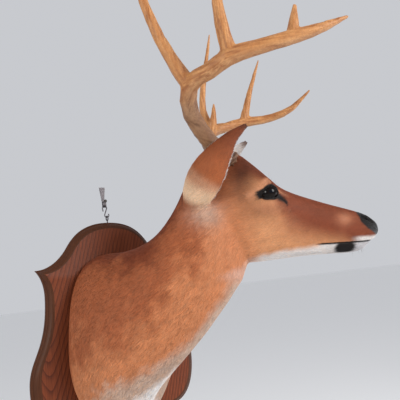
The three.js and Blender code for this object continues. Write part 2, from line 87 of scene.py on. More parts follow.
def makeStage(plan):
    bpy.ops.mesh.primitive_circle_add(vertices=64, radius=plan["floorReach"], fill_type="NGON",
                                      location=(0, 0, plan["floorLevel"]))
    floor = bpy.context.object
    floor.name = "floor"
    paper = bpy.data.materials.new("floor paper")
    paper.use_nodes = True
    shader = paper.node_tree.nodes["Principled BSDF"]
    shader.inputs["Base Color"].default_value = (*plan["paper"], 1)
    shader.inputs["Roughness"].default_value = 0.9
    floor.data.materials.append(paper)
    world = bpy.data.worlds.new("pale room")
    world.use_nodes = True
    sky = world.node_tree.nodes["Background"]
    sky.inputs["Color"].default_value = (*plan["sky"], 1)
    sky.inputs["Strength"].default_value = plan["skyStrength"]
    scene.world = world
    for name, (place, aim, width, power, colour) in plan["lamps"].items():
        data = bpy.data.lights.new(name, "AREA")
        data.shape = "DISK"
        data.size = width
        data.energy = power
        data.color = colour
        lamp = bpy.data.objects.new(name, data)
        lamp.location = place
        lamp.rotation_euler = (Vector(aim) - Vector(place)).to_track_quat("-Z", "Y").to_euler()
        scene.collection.objects.link(lamp)


makeCamera(cameraPlan)
makeStage(stagePlan)
scene.view_settings.view_transform = "Standard"
print("camera and stage are set")


# mesh tools

def readRows(items, what, width, kind=float):
    # one property of every item, a row each
    flat = np.empty(len(items) * width, kind)
    items.foreach_get(what, flat)
    return flat.reshape(-1, width)


def pointsOf(mesh, what="co"):
    return readRows(mesh.vertices, what, 3)


def surfaceOf(mesh):
    return pointsOf(mesh), pointsOf(mesh, "normal")


def movePoints(mesh, points):
    mesh.vertices.foreach_set("co", points.ravel())
    mesh.update()


def edgesOf(mesh):
    return readRows(mesh.edges, "vertices", 2, np.int32)


def trianglesOf(mesh, what="vertices"):
    mesh.calc_loop_triangles()
    return readRows(mesh.loop_triangles, what, 3, np.int32)


def treeOf(mesh):
    return BVHTree.FromPolygons(pointsOf(mesh).tolist(), trianglesOf(mesh).tolist())


def addObject(name, mesh):
    thing = bpy.data.objects.new(name, mesh)
    scene.collection.objects.link(thing)
    return thing


def meshFrom(name, points, faces):
    # faces is one array, every face with as many corners as the next
    mesh = bpy.data.meshes.new(name)
    mesh.vertices.add(len(points))
    mesh.vertices.foreach_set("co", np.asarray(points, np.float32).ravel())
    count, corners = faces.shape
    mesh.loops.add(count * corners)
    mesh.loops.foreach_set("vertex_index", faces.ravel().astype(np.int32))
    mesh.polygons.add(count)
    mesh.polygons.foreach_set("loop_start", np.arange(count, dtype=np.int32) * corners)
    mesh.update(calc_edges=True)
    mesh.shade_smooth()
    return mesh


def addLayer(mesh, name, kind, word, values):
    layer = mesh.attributes.new(name, kind, "POINT")
    layer.data.foreach_set(word, np.asarray(values, np.float32).ravel())


def colourPoints(mesh, name, values):
    rgba = np.ones((len(values), 4))
    rgba[:, :3] = np.clip(values, 0, 1)
    addLayer(mesh, name, "FLOAT_COLOR", "color", rgba)


def numberPoints(mesh, name, values):
    addLayer(mesh, name, "FLOAT", "value", values)


def unit(vectors):
    return vectors / np.maximum(np.linalg.norm(vectors, axis=-1, keepdims=True), 1e-9)


def ramp(values, low, high):
    t = np.clip((values - low) / (high - low), 0, 1)
    return t * t * (3 - 2 * t)


def blend(a, b, share):
    share = np.asarray(share)[..., None]
    return a * (1 - share) + b * share


def spot(places, middle, reach):
    # 1 at the middle, fading to nothing over about its reach on each axis
    return np.exp(-(((places - np.array(middle)) / np.array(reach)) ** 2).sum(-1))


def tableAt(values, table):
    # each column after a table's first one, at these values of the first
    columns = np.array(table, float).T
    return [np.interp(values, columns[0], column) for column in columns[1:]]


def lineDistance(places, line):
    # how far each place is from a line through the given points, and how far along it the nearest spot is
    nearest = np.full(len(places), 1e9)
    along = np.zeros(len(places))
    line = np.array(line, float)
    for k, (start, stop) in enumerate(zip(line[:-1], line[1:])):
        run = stop - start
        t = np.clip(((places - start) @ run) / (run @ run), 0, 1)
        gap = np.linalg.norm(places - start - t[:, None] * run, axis=1)
        closer = gap < nearest
        nearest[closer] = gap[closer]
        along[closer] = (k + t[closer]) / (len(line) - 1)
    return nearest, along


def relax(points, edges, share, rounds, keepSize=True):
    # smooths by moving each point towards its neighbours' middle, then nearly as far back
    a, b = edges.T
    neighbours = np.maximum(np.bincount(edges.ravel(), minlength=len(points)), 1)[:, None]
    share = np.broadcast_to(share, len(points))[:, None]
    for step in range(rounds):
        middle = np.stack([
            np.bincount(a, points[b, k], len(points)) + np.bincount(b, points[a, k], len(points))
            for k in range(3)
        ], axis=1) / neighbours
        pull = -0.53 if keepSize and step % 2 else 0.5
        points = points + (middle - points) * share * pull
    return points


def mottle(points, size, seed):
    # soft random variation from -1 to 1 whose patches are about that size, in metres
    shift = Vector((seed * 3.1, seed * 1.7, seed * 2.3))
    return np.array([noise.noise(Vector(p) / size + shift) for p in points.tolist()])


def meshOf(shape, name):
    # a mesh from a bmesh, which is freed
    mesh = bpy.data.meshes.new(name)
    shape.to_mesh(mesh)
    shape.free()
    return mesh


def joinedCopy(name, nodeNames, swell):
    # the nodes' solids as one mesh, each grown so far that it runs into its neighbours
    joined = bmesh.new()
    for node in nodeNames:
        own = bmesh.new()
        own.from_mesh(nodes[node].data)
        bmesh.ops.remove_doubles(own, verts=own.verts, dist=1e-6)
        own.normal_update()
        normals = [v.normal.copy() for v in own.verts]
        for v, normal in zip(own.verts, normals):
            v.co += normal * swell.get(node, swell["rest"]) * mm
        whole = meshOf(own, "part")
        joined.from_mesh(whole)
        bpy.data.meshes.remove(whole)
    return addObject(name, meshOf(joined, name))


def remeshed(thing, cell):
    remesh = thing.modifiers.new("remesh", "REMESH")
    remesh.mode = "VOXEL"
    remesh.voxel_size = cell
    remesh.use_smooth_shade = True
    bpy.context.view_layer.update()
    result = bpy.data.meshes.new_from_object(thing.evaluated_get(bpy.context.evaluated_depsgraph_get()))
    thing.modifiers.clear()
    old = thing.data
    thing.data = result
    bpy.data.meshes.remove(old)
    return result


def distanceTo(points, nodeNames, reach):
    # how far each point is from the nearest of these nodes, at most reach
    nearest = np.full(len(points), reach)
    for node in nodeNames:
        tree = treeOf(nodes[node].data)
        for i, p in enumerate(points.tolist()):
            gap = tree.find_nearest(p, nearest[i])[3]
            if gap is not None:
                nearest[i] = gap
    return nearest


# the head's own frame, in millimetres: h is forward of the eyes, l to the deer's left, and v up

def boxMiddle(node):
    low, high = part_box(node)
    return np.array((low + high) / 2)


eyeMiddles = {side: boxMiddle(f"eye_{side}") for side in ("left", "right")}
eyePlace = {"forward": 2, "up": 1}  # of the eyeballs' middles from the head's origin
sideSigns = {"left": 1, "right": -1}
leftward = unit(eyeMiddles["left"] - eyeMiddles["right"])
forward = unit(np.array((leftward[1], -leftward[0], 0)))
upward = np.cross(forward, leftward)
headAxes = np.stack((forward, leftward, upward))
headMiddle = (eyeMiddles["left"] + eyeMiddles["right"]) / 2
headMiddle = headMiddle - (forward * eyePlace["forward"] + upward * eyePlace["up"]) * mm


def toHead(points):
    # where each point is in the head's frame: its h, l and v
    return (points - headMiddle) @ headAxes.T / mm


def fromHead(places):
    return headMiddle + np.asarray(places, float) @ headAxes * mm


def headWay(vector):
    return unit(np.asarray(vector, float) @ headAxes)


def mirrored(places):
    # the head's places with both sides folded onto one
    folded = places.copy()
    folded[:, 1] = np.abs(folded[:, 1])
    return folded


# eye shape, shared by the lids and the eyeballs

eyePlan = {
    "radius": 17,  # millimetres, as are the lid's sizes
    "looks": (0.36, 0.93, 0.06),  # which way it looks in the head's frame, for the left eye
    "backCorner": (-77, -18),  # degrees forward and up of where it looks
    "frontCorner": (70, -17),
    "peak": 14,
    "openUp": 54,
    "openDown": 25,
    "lidThickness": 1.3,
    "fold": 5.2,  # how far outside the opening the lid's fold lies
    "socket": 14,
    "seat": 0.9,  # how deep the whole socket is pressed in
}


def eyeAxes(side):
    # which way the eye looks, and forward and up across that
    sign = sideSigns[side]
    ahead, out, up = eyePlan["looks"]
    looks = headWay((ahead, sign * out, up))
    fore = unit(forward - looks * (forward @ looks))
    return looks, fore, np.cross(fore, looks) * sign


def eyeAngles(points, side):
    # distance from the eye's middle in millimetres, and the angles forward and up of where it looks
    looks, fore, above = eyeAxes(side)
    way = (points - eyeMiddles[side]) / mm
    far = np.linalg.norm(way, axis=1)
    way = way / np.maximum(far, 1e-6)[:, None]
    turn = np.degrees(np.arctan2(way @ fore, way @ looks))
    rise = np.degrees(np.arcsin(np.clip(way @ above, -1, 1)))
    return far, turn, rise


def lidGap(turn, rise):
    # millimetres inside the lids' opening, below nothing outside it
    (backTurn, backRise), (frontTurn, frontRise) = eyePlan["backCorner"], eyePlan["frontCorner"]
    middle = np.interp(turn, (backTurn, frontTurn), (backRise, frontRise))
    peak = eyePlan["peak"]
    across = np.where(turn > peak, (turn - peak) / (frontTurn - peak), (peak - turn) / (peak - backTurn))
    arch = np.where(across < 1, 1 - across ** 2, 2 * (1 - across))
    lower = np.where(across < 1, np.sqrt(np.maximum(1 - across ** 2, 0)), 2 * (1 - across))
    above = middle + eyePlan["openUp"] * arch - rise
    below = rise - middle + eyePlan["openDown"] * lower
    return np.minimum(above, below) * math.radians(1) * eyePlan["radius"]


# skin: one surface for head, jaw, nose, ears, neck and shoulder

skinPlan = {
    "cell": 3.05 * mm,
    "smoothing": {"joins": 90, "all": 30, "refined": 8},  # rounds
    "swell": {"ear_left": 1.0, "ear_right": 1.0, "rest": 0.45},  # millimetres that the nodes grow to meet
    "bodyCoat": 3.2,  # how deep the skin lies under the coat's tips, in millimetres
    "faceCoat": 1.4,
    "earCoat": 1.5,
    # how deep each cut in the face is, in millimetres
    "cutDepths": {"lip": 3.6, "nostril": 9.5, "wing": -1.5, "duct": 2.4, "philtrum": 1.6, "tuck": 1.1},
    # soft forms under the skin: middle, reach and rise in the head's frame, both sides alike
    "forms": {
        "cheek": ((-28, 56, -72), (30, 22, 30), 3.0),
        "cheekbone": ((22, 52, -34), (26, 14, 7), 2.2),
        "browRidge": ((4, 55, 25), (17, 14, 7), 3.4),
        "temple": ((-42, 52, 22), (17, 22, 16), -3.0),
        "faceHollow": ((48, 42, -52), (20, 20, 15), -2.2),
        "muzzleSide": ((120, 30, -88), (26, 16, 14), 1.6),
        "jawAngle": ((-62, 50, -98), (16, 22, 18), 1.6),
        "jawHollow": ((-84, 52, -66), (11, 22, 30), -3.4),
        "chin": ((160, 10, -124), (16, 14, 9), 1.2),
        "nosePad": ((184, 8, -72), (16, 14, 14), -2.2),
    },
    # soft forms of the body, in the part's frame
    "bodyForms": {
        "shoulderRight": ((-98, -52, -60), (34, 40, 70), 5.0),
        "shoulderLeft": ((92, -58, -70), (34, 40, 70), 5.0),
        "shoulderHollowRight": ((-70, -112, 30), (26, 18, 60), -4.0),
        "shoulderHollowLeft": ((98, -96, 10), (26, 18, 60), -4.0),
        "brisket": ((-6, -130, -140), (30, 36, 34), 5.0),
        "throatRidge": ((60, -236, 0), (26, 30, 60), 2.0),
    },
    "mouth": {"corner": 76, "level": -105, "slope": 0.07, "lipRise": 3.0},
    "nostril": ((165, 21, -66), (173, 20, -70), (181, 17, -79), (187, 12, -89)),
    "tearDuct": ((18, -7), (24, -12), (30, -18), (35, -25)),  # forward and up
    "eyeCorner": ((-14, 45, -2), (14, 22, 14)),  # middle and reach of the finer faces behind the eye
    # how far forward the bare nose pad starts, at levels from its foot up
    "padEdge": ((-104, 193), (-97, 184), (-88, 173), (-75, 163), (-57, 160), (-45, 163)),
}
fleshNodes = ("head", "neck", "shoulder", "lower_jaw", "nose", "ear_left", "ear_right")


def mouthLevel(places):
    # the level of the line between the lips, which lifts a little under the nose
    mouth = skinPlan["mouth"]
    level = mouth["level"] - mouth["slope"] * (places[:, 0] - mouth["corner"])
    return level + mouth["lipRise"] * np.exp(-(places[:, 1] / 10) ** 2) * ramp(places[:, 0], 165, 185)


def ductGapOf(places):
    # how far from the tear duct, seen from the side, and how far along it
    gap, along = lineDistance(places[:, [0, 2]], skinPlan["tearDuct"])
    return gap + 99 * (places[:, 1] < 20), along


def padShare(places):
    # 1 on the bare pad of the nose
    (edge,) = tableAt(places[:, 2], skinPlan["padEdge"])
    return ramp(places[:, 0] - edge, -1.6, 1.6)


def mouthGapOf(places):
    # how far from the line between the lips, large behind its corner
    corner = skinPlan["mouth"]["corner"]
    gap = np.abs(places[:, 2] - mouthLevel(places))
    return np.hypot(gap, np.maximum(corner - places[:, 0], 0) * 1.5)


def refine(mesh, wanted):
    # splits each wanted face in four
    bm = bmesh.new()
    bm.from_mesh(mesh)
    bm.faces.ensure_lookup_table()
    edges = {edge for i in np.flatnonzero(wanted) for edge in bm.faces[i].edges}
    edges = sorted(edges, key=lambda edge: edge.index)
    bmesh.ops.subdivide_edges(bm, edges=edges, cuts=1, use_grid_fill=True)
    bm.to_mesh(mesh)
    bm.free()
    mesh.update()


def faceMiddles(mesh):
    return readRows(mesh.polygons, "center", 3)


def lidRadius(outside, far, rise):
    # how far from the eye's middle the lid's surface is, that far outside its opening
    radius, thick, fold = eyePlan["radius"], eyePlan["lidThickness"], eyePlan["fold"]
    lid = radius + 0.15 + thick * ramp(outside, -0.1, 0.8) + 0.7 * ramp(outside, 0.5, 2.8)
    crease = np.exp(-((outside - fold) / 1.2) ** 2) * np.where(rise > -14, 1.0, 0.5)
    return lid + (far - lid) * ramp(outside, fold * 0.4, eyePlan["socket"]) - crease


def seatDepth(outside):
    return eyePlan["seat"] * ramp(eyePlan["socket"] - outside, 1, 7)


def sculptEye(points, side):
    # the points with a seat for the eyeball and its lids pressed into them
    far, turn, rise = eyeAngles(points, side)
    outside = -lidGap(turn, rise)
    wanted = np.where(outside < 1.5, eyePlan["radius"] - 1.6, lidRadius(outside, far, rise))
    wanted = wanted - seatDepth(outside)
    share = ramp(50 - far, 0, 16) * ramp(105 - np.hypot(turn, rise), 0, 12)
    wanted = far + (wanted - far) * share
    way = unit(points - eyeMiddles[side])
    return points + way * ((wanted - far) * mm)[:, None]


def nearEars(points):
    # 1 on the ears, fading out round their feet
    return ramp(5 * mm - distanceTo(points, ("ear_left", "ear_right"), 9 * mm), 0, 4 * mm)


def joinFlesh(plan):
    skin = joinedCopy("skin", fleshNodes, plan["swell"])
    mesh = remeshed(skin, plan["cell"])
    points, edges = pointsOf(mesh), edgesOf(mesh)
    ears = nearEars(points)
    joins = np.maximum(distanceTo(points, ("head",), 30 * mm), distanceTo(points, ("neck",), 30 * mm))
    joins = np.maximum(ramp(28 * mm - joins, 0, 20 * mm), 0.5 * ramp(-toHead(points)[:, 0], 60, 110))
    rounds = plan["smoothing"]
    points = relax(points, edges, joins * (1 - ears), rounds["joins"], keepSize=False)
    points = relax(points, edges, 1 - 0.3 * ears, rounds["all"])
    movePoints(mesh, points)
    print("skin is joined:", len(points), "points")
    return skin


def refineFace(mesh, plan):
    # smaller faces on the nose and round the mouth, eyes, nostrils and tear ducts
    places = mirrored(toHead(faceMiddles(mesh)))
    eyeGap = np.linalg.norm(places - mirrored(toHead(eyeMiddles["left"][None]))[0], axis=1)
    refine(mesh, (places[:, 0] > 148) | (mouthGapOf(places) < 9) | (eyeGap < 36))
    places = mirrored(toHead(faceMiddles(mesh)))
    nostrilGap, _ = lineDistance(places, plan["nostril"])
    ductGap, _ = ductGapOf(places)
    corner = spot(places, *plan["eyeCorner"])
    refine(mesh, (mouthGapOf(places) < 4.5) | (nostrilGap < 8) | (ductGap < 5) | (corner > 0.35))
    points = pointsOf(mesh)
    refined = ramp(toHead(points)[:, 0], -60, -30)
    points = relax(points, edgesOf(mesh), refined, plan["smoothing"]["refined"])
    movePoints(mesh, points)
    return points


def sinkSkin(points, normals, plan):
    # the points let down under the coat with their soft forms raised, and what is ear and bare nose
    places = toHead(points)
    folded = mirrored(places)
    face = ramp(places[:, 0], -105, -20) * ramp(places[:, 2], -150, -118)
    ears, bare = nearEars(points), padShare(folded)
    noseGap = distanceTo(points, ("nose",), 14 * mm)
    depth = plan["bodyCoat"] * (1 - face) + plan["faceCoat"] * face
    depth = depth * (1 - ears) + plan["earCoat"] * ears
    depth = depth + (plan["swell"]["rest"] - depth) * ramp(12 * mm - noseGap, 0, 12 * mm)
    points = points - normals * (depth * mm)[:, None]
    rise = np.zeros(len(points))
    for middle, reach, height in plan["forms"].values():
        rise += height * spot(folded, middle, reach) * (1 - ears)
    for middle, reach, height in plan["bodyForms"].values():
        rise += height * spot(points / mm, middle, reach)
    return points + normals * (rise * mm)[:, None], ears, bare


def faceCuts(points, plan):
    # mouth, nostrils, tear ducts and the groove under the nose: 1 in the middle of each
    folded = mirrored(toHead(points))
    h, l, v = folded.T
    mouthGap = mouthGapOf(folded)
    below = v < mouthLevel(folded)
    lip = np.exp(-(mouthGap / np.where(below, 1.6, 1.0)) ** 2) * ramp(h, 76, 90)
    tuck = np.exp(-(mouthGap / 7) ** 2) * (below & (h > 70) & (v > -135))
    philtrum = np.exp(-(l / 1.3) ** 2) * ramp(h, 180, 188) * ramp(v, -111, -107) * ramp(-v, 84, 94)
    nostrilGap, nostrilAlong = lineDistance(folded, plan["nostril"])
    flare = np.interp(nostrilAlong, (0, 0.3, 0.7, 1), (1.6, 3.6, 3.2, 1.4))
    nostril = np.exp(-(nostrilGap / flare) ** 4)
    wing = np.exp(-((nostrilGap - flare - 2.8) / 2.0) ** 2) * ramp(h, 155, 165)
    ductGap, ductAlong = ductGapOf(folded)
    duct = np.exp(-(ductGap / np.interp(ductAlong, (0, 0.6, 1), (2.8, 2.0, 1.1))) ** 2)
    return {"lip": lip, "nostril": nostril, "wing": wing, "duct": duct, "philtrum": philtrum, "tuck": tuck}


def makeSkin(plan):
    skin = joinFlesh(plan)
    mesh = skin.data
    points = refineFace(mesh, plan)
    normals = pointsOf(mesh, "normal")
    points, ears, bare = sinkSkin(points, normals, plan)
    cuts = faceCuts(points, plan)
    depth = sum(plan["cutDepths"][name] * share for name, share in cuts.items())
    points = points - normals * (depth * mm)[:, None]
    for side in sideSigns:
        points = sculptEye(points, side)
    movePoints(mesh, points)
    print("skin is sculpted:", len(points), "points,", len(mesh.polygons), "faces")
    return skin, {"ears": ears, "bare": bare, **cuts}


skin, masks = makeSkin(skinPlan)


# the coat's markings and its painted shade, shared by the skin, the lids and every tuft

coatPlan = {
    "colours": {
        "darkBack": (0.165, 0.036, 0.012),
        "russet": (0.290, 0.082, 0.030),
        "tan": (0.430, 0.160, 0.068),
        "greyTan": (0.400, 0.275, 0.210),
        "white": (0.620, 0.580, 0.560),
        # a grey white, the painted shade on the chin
        "chinPaintedShade": (0.430, 0.415, 0.430),
        "cheekTan": (0.530, 0.245, 0.115),
        "muzzleBrown": (0.182, 0.044, 0.018),
        "foreheadBrown": (0.085, 0.024, 0.012),
        "paleRing": (0.470, 0.210, 0.110),
        "paleSpot": (0.480, 0.195, 0.105),
        "darkSpot": (0.190, 0.045, 0.020),
        "earBack": (0.310, 0.088, 0.030),
        "earUpper": (0.165, 0.043, 0.017),
        "earRim": (0.060, 0.020, 0.010),
        "earBase": (0.690, 0.480, 0.320),
        "black": (0.006, 0.004, 0.004),
    },
    "underShoulder": (-0.05, -0.38, -0.92),
    "underThroat": (0.42, -0.44, -0.80),
    "brisketPale": 0.52,  # how much further up the sides the pale hair comes at the foot of the neck
    # how far round the body each colour starts and is whole: -1 along the back, 1 underneath
    "bands": (("russet", -0.85, -0.45), ("tan", -0.12, 0.42), ("greyTan", 0.66, 0.92), ("white", 1.02, 1.22)),
    # the level of the head's crest, at places from its back to the nose
    "crest": ((-132, 66), (-85, 97), (-60, 95), (-37, 84), (-15, 60), (5, 36), (25, 14), (48, -1), (78, -16),
              (110, -31), (140, -44), (176, -61), (196, -80)),
    # how far down from the crest the brown is whole, and where it has faded out
    "saddle": ((-90, 12, 60), (-40, 20, 62), (0, 12, 44), (35, 22, 104), (65, 46, 106), (108, 48, 84),
               (128, 40, 92), (150, 48, 100), (175, 40, 90)),
    "saddleWander": 6,  # how far the brown's edge wanders, in millimetres, and then the white's
    "jawWander": 3,
    # patches on the head: colour, middle, reach and strength
    "patches": (
        ("foreheadBrown", (-44, 40, 46), (38, 34, 32), 0.97),
        ("foreheadBrown", (-44, 58, 10), (22, 22, 28), 0.55),
        ("foreheadBrown", (-34, 60, -30), (18, 20, 30), 0.22),
        ("foreheadBrown", (-78, 14, 92), (24, 34, 20), 0.85),
        ("foreheadBrown", (-10, 54, -26), (20, 26, 12), 0.45),
        ("muzzleBrown", (16, 56, -30), (34, 22, 20), 0.50),
        ("muzzleBrown", (39, 44, -64), (30, 30, 22), 0.40),
        ("paleSpot", (137, 26, -66), (13, 14, 11), 0.80),
        ("darkSpot", (152, 26, -87), (13, 14, 8), 0.90),
    ),
    # the pale hair below the ears, in a greyer, darker tan that is also a painted shade: middle, reach and
    # strength
    "earFoot": ((-114, 60, -20), (30, 28, 26), 0.85),
    "headLean": 0.35,  # how far forward the head's back edge leans as it rises
    "headEnds": {"below": -120, "slope": 1.8},  # under this level the head's markings stop further forward
    # the level of the white along the jaw
    "jawLevel": ((-110, -132), (-70, -121), (-48, -114), (-26, -110), (17, -106), (64, -106), (100, -109),
                 (130, -111), (175, -112)),
    # the black behind the eye: how far back and down it reaches, and its sloping upper edge
    "eyeCorner": {"back": -21.5, "low": -8.5, "rise": 5.0, "slope": 0.34},
    "blackRim": 4.2,  # how far the black goes outside the eye's opening, below it
    "eyeRing": (10, 3.6),  # how far outside the opening the pale ring lies, and its width
    "ductWidth": (7.0, 2.6),  # of the black on the tear duct, at its two ends
    "upperLip": ((138, 164), (6, 13)),  # where the white over the mouth starts, and how high it fades
    "chin": ((78, 90), (90, 150)),  # where the white under the mouth starts, and where it turns grey, a painted shade of the chin
    "lipPatch": ((130, -118), (19, 13)),  # the black patch on the lower lip: middle and reach
    "mouthLine": 1.5,
    "earLine": ((-138, 42, -8), (-110, 71, 39), (-71, 89, 84), (-20, 93, 123)),
    "earOpens": (0.44, -0.9, 0.0),  # forward, outward, up
    # which way the hair lies on the neck and on the shoulder, in the part's frame
    "neckLie": (-0.42, 0.69, -0.60),
    "shoulderLie": (0.0, 0.55, -0.84),
    "softPatch": (46 * mm, 0.27),  # size and strength of the body's paler and darker patches
    "finePatch": (15 * mm, 0.17),
    "fineShade": 0.13,  # how much the fine patches lighten and darken every colour
    "cutPaintedShade": 0.85,  # painted shade: how dark the nostrils and the line of the mouth are inside
}


def eyeOutside(points):
    # millimetres outside the nearer eye's opening
    outside = np.full(len(points), 99.0)
    for side in sideSigns:
        far, turn, rise = eyeAngles(points, side)
        near = (far < 42) & (np.hypot(turn, rise) < 100)
        outside[near] = np.minimum(outside[near], -lidGap(turn[near], rise[near]))
    return outside


def eyeCornerShare(places):
    # 1 on the black behind the eye
    h, l, v = places.T
    plan = coatPlan["eyeCorner"]
    behind = h - plan["back"]
    inside = np.minimum(np.minimum(behind, v - plan["low"]), plan["rise"] + plan["slope"] * behind - v)
    return ramp(np.minimum(inside, -h), -0.9, 1.3) * (l > 30)


def aheadOfNeck(h, v):
    # how far forward of the head's back edge, which leans forward as it rises
    return h - coatPlan["headLean"] * v


def earInside(points, normals):
    # 1 on the faces that look the way the ears open
    ahead, out, up = coatPlan["earOpens"]
    opens = headWayOf(ahead, np.sign(toHead(points)[:, 1]) * out, up)
    return ramp((normals * opens).sum(1), -0.02, 0.4)


def bodyColour(points, normals, tone, mottling):
    under = blend(np.array(coatPlan["underShoulder"]), np.array(coatPlan["underThroat"]),
                  ramp(-points[:, 1] / mm, 90, 220))
    low = (normals * unit(under)).sum(1)
    low = low + mottling * (1 - 0.7 * ramp(low, 0.35, 0.85))
    low = low + coatPlan["brisketPale"] * ramp(-points[:, 2] / mm, 0, 170)
    colour = np.broadcast_to(tone["darkBack"], points.shape)
    for name, start, stop in coatPlan["bands"]:
        colour = blend(colour, tone[name], ramp(low, start, stop))
    return colour


def eyeBlack(points, folded):
    # 1 on the black round the eyes and down the tear ducts
    v = folded[:, 2]
    ductGap, ductAlong = ductGapOf(folded)
    duct = np.exp(-(ductGap / np.interp(ductAlong, (0, 1), coatPlan["ductWidth"])) ** 4)
    rim = ramp(coatPlan["blackRim"] + 2.5 * ramp(v, -4, 8) - eyeOutside(points), 0, 1.8)
    return np.maximum(np.maximum(duct, eyeCornerShare(folded)), rim)


def headColour(points, folded, tone, soft, fine):
    # tan cheeks under a brown crest, with a white jaw and chin
    h, l, v = folded.T
    (crest,) = tableAt(h, coatPlan["crest"])
    solid, faded = tableAt(h, coatPlan["saddle"])
    colour = blend(np.broadcast_to(tone["cheekTan"], points.shape), tone["tan"], ramp(-h, 0, 75))
    brown = 1 - ramp(crest - v + coatPlan["saddleWander"] * soft, solid, faded)
    colour = blend(colour, tone["muzzleBrown"], brown)
    for name, middle, reach, share in coatPlan["patches"]:
        colour = blend(colour, tone[name], share * spot(folded, middle, reach))
    away, width = coatPlan["eyeRing"]
    ring = np.exp(-((eyeOutside(points) - away) / width) ** 2) * (0.25 + 0.65 * ramp(v, -10, 10))
    colour = blend(colour, tone["paleRing"], ring)

    (jaw,) = tableAt(h, coatPlan["jawLevel"])
    underJaw = ramp(jaw - v + coatPlan["jawWander"] * fine, -5, 9)
    colour = blend(colour, tone["white"], underJaw * (1 - 0.75 * ramp(-h, 10, 60)))
    above = v - mouthLevel(folded)
    starts, fades = coatPlan["upperLip"]
    colour = blend(colour, tone["white"], ramp(h, *starts) * (1 - ramp(above, *fades)))
    starts, chinShadeSpan = coatPlan["chin"]
    below = ramp(-above, -1, 2)
    # painted shade: the white under the mouth turns grey towards the chin's front, where shade falls
    chin = blend(tone["white"], tone["chinPaintedShade"], ramp(h, *chinShadeSpan))
    colour = blend(colour, chin, ramp(h, *starts) * below)
    patch = spot(folded[:, [0, 2]], *coatPlan["lipPatch"]) * ramp(l, 3, 11)
    colour = blend(colour, tone["black"], ramp(patch, 0.20, 0.55) * below)
    line = np.exp(-(mouthGapOf(folded) / coatPlan["mouthLine"]) ** 2) * ramp(h, 76, 90)
    colour = blend(colour, tone["black"], line)
    return blend(colour, tone["black"], eyeBlack(points, folded))


def earColour(tone, along, inside):
    # pale at the foot and dark at the tip, with white hair inside
    colour = np.broadcast_to(tone["earBase"], (len(along), 3))
    colour = blend(colour, tone["earBack"], ramp(along, 0.18, 0.42))
    colour = blend(colour, tone["earUpper"], ramp(along, 0.45, 0.85))
    colour = blend(colour, tone["earRim"], 0.9 * ramp(along, 0.88, 0.98))
    return blend(colour, tone["white"], inside * (1 - 0.85 * ramp(along, 0.90, 0.99)))


def coatColour(points, normals, ears, bare, cuts):
    tone = {name: np.array(value) for name, value in coatPlan["colours"].items()}
    folded = mirrored(toHead(points))
    h, _, v = folded.T
    softSize, softStrength = coatPlan["softPatch"]
    fineSize, fineStrength = coatPlan["finePatch"]
    soft = mottle(points * (1, 1, 0.7), softSize, 1)
    fine = mottle(points, fineSize, 2)
    colour = bodyColour(points, normals, tone, soft * softStrength + fine * fineStrength)
    ends = coatPlan["headEnds"]
    ahead = aheadOfNeck(h, v) - ends["slope"] * np.maximum(ends["below"] - v, 0)
    colour = blend(colour, headColour(points, folded, tone, soft, fine), ramp(ahead, -100, -50))
    # real pale hair under the ears, darkened to a grey tan as painted shade
    middle, reach, share = coatPlan["earFoot"]
    colour = blend(colour, tone["greyTan"], share * spot(folded, middle, reach))
    _, along = lineDistance(folded, coatPlan["earLine"])
    ear = earColour(tone, along, earInside(points, normals))
    colour = blend(colour, ear, ears * ramp(along, 0.03, 0.16))
    colour = blend(colour, tone["black"], np.clip(bare, 0, 1))
    # painted shade inside the nostrils and along the line of the mouth, and the fine patches lightening and
    # darkening every colour
    shade = 1 - coatPlan["cutPaintedShade"] * np.clip(cuts, 0, 1)
    return colour * (shade * (1 + coatPlan["fineShade"] * fine))[:, None]


def headWayOf(ahead, out, up):
    # one direction for each point, from numbers or arrays along the head's axes
    return headWay(np.stack(np.broadcast_arrays(ahead, out, up), axis=-1))


def coatLie(points, normals, ears):
    # which way the hair lies at each point, along the skin
    places = toHead(points)
    folded = mirrored(places)
    h, _, v = folded.T
    side = np.sign(places[:, 1])
    (crest,) = tableAt(h, coatPlan["crest"])
    eye = mirrored(toHead(eyeMiddles["left"][None]))[0]
    fromEye = folded - eye
    near = np.exp(-(np.linalg.norm(fromEye, axis=1) / 30) ** 2)
    upDown = 0.9 * near * fromEye[:, 2] / 22 - 0.30 * ramp(crest - v, 15, 80)
    way = headWayOf(-1.0, 0.12 * side, upDown)
    toNeck = ramp(-h - 0.35 * v, 62, 120)
    way = blend(way, unit(np.array(coatPlan["neckLie"])), toNeck)
    toShoulder = ramp(points[:, 1] / mm, -210, -70) * toNeck
    way = blend(way, unit(np.array(coatPlan["shoulderLie"])), toShoulder)
    ahead, out, up = np.subtract(coatPlan["earLine"][-1], coatPlan["earLine"][1])
    way = blend(way, headWayOf(ahead, side * out, up), ears)
    return unit(way - normals * (way * normals).sum(1)[:, None])


def paintSkin(skin, masks):
    mesh = skin.data
    points, normals = surfaceOf(mesh)
    bare = masks["bare"]
    # the nostrils and the line of the mouth, which coatColour darkens as painted shade
    cuts = np.maximum(masks["nostril"], masks["lip"])
    colourPoints(mesh, "coatColour", coatColour(points, normals, masks["ears"], bare, cuts))
    numberPoints(mesh, "bareNose", bare)


paintSkin(skin, masks)
print("skin is painted")


# materials

def addCoatPiece(name, mesh, finish):
    mesh.materials.append(finish)
    piece = addObject(name, mesh)
    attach(piece, "root")


def newMaterial(name):
    material = bpy.data.materials.new(name)
    material.use_nodes = True
    tree = material.node_tree
    return material, tree, tree.nodes["Principled BSDF"]


def feed(tree, socket, value):
    # links a socket to another one, or sets its value
    if isinstance(value, bpy.types.NodeSocket):
        tree.links.new(value, socket)
    else:
        socket.default_value = value


def feedAll(tree, node, inputs):
    for word, value in inputs.items():
        feed(tree, node.inputs[word], value)


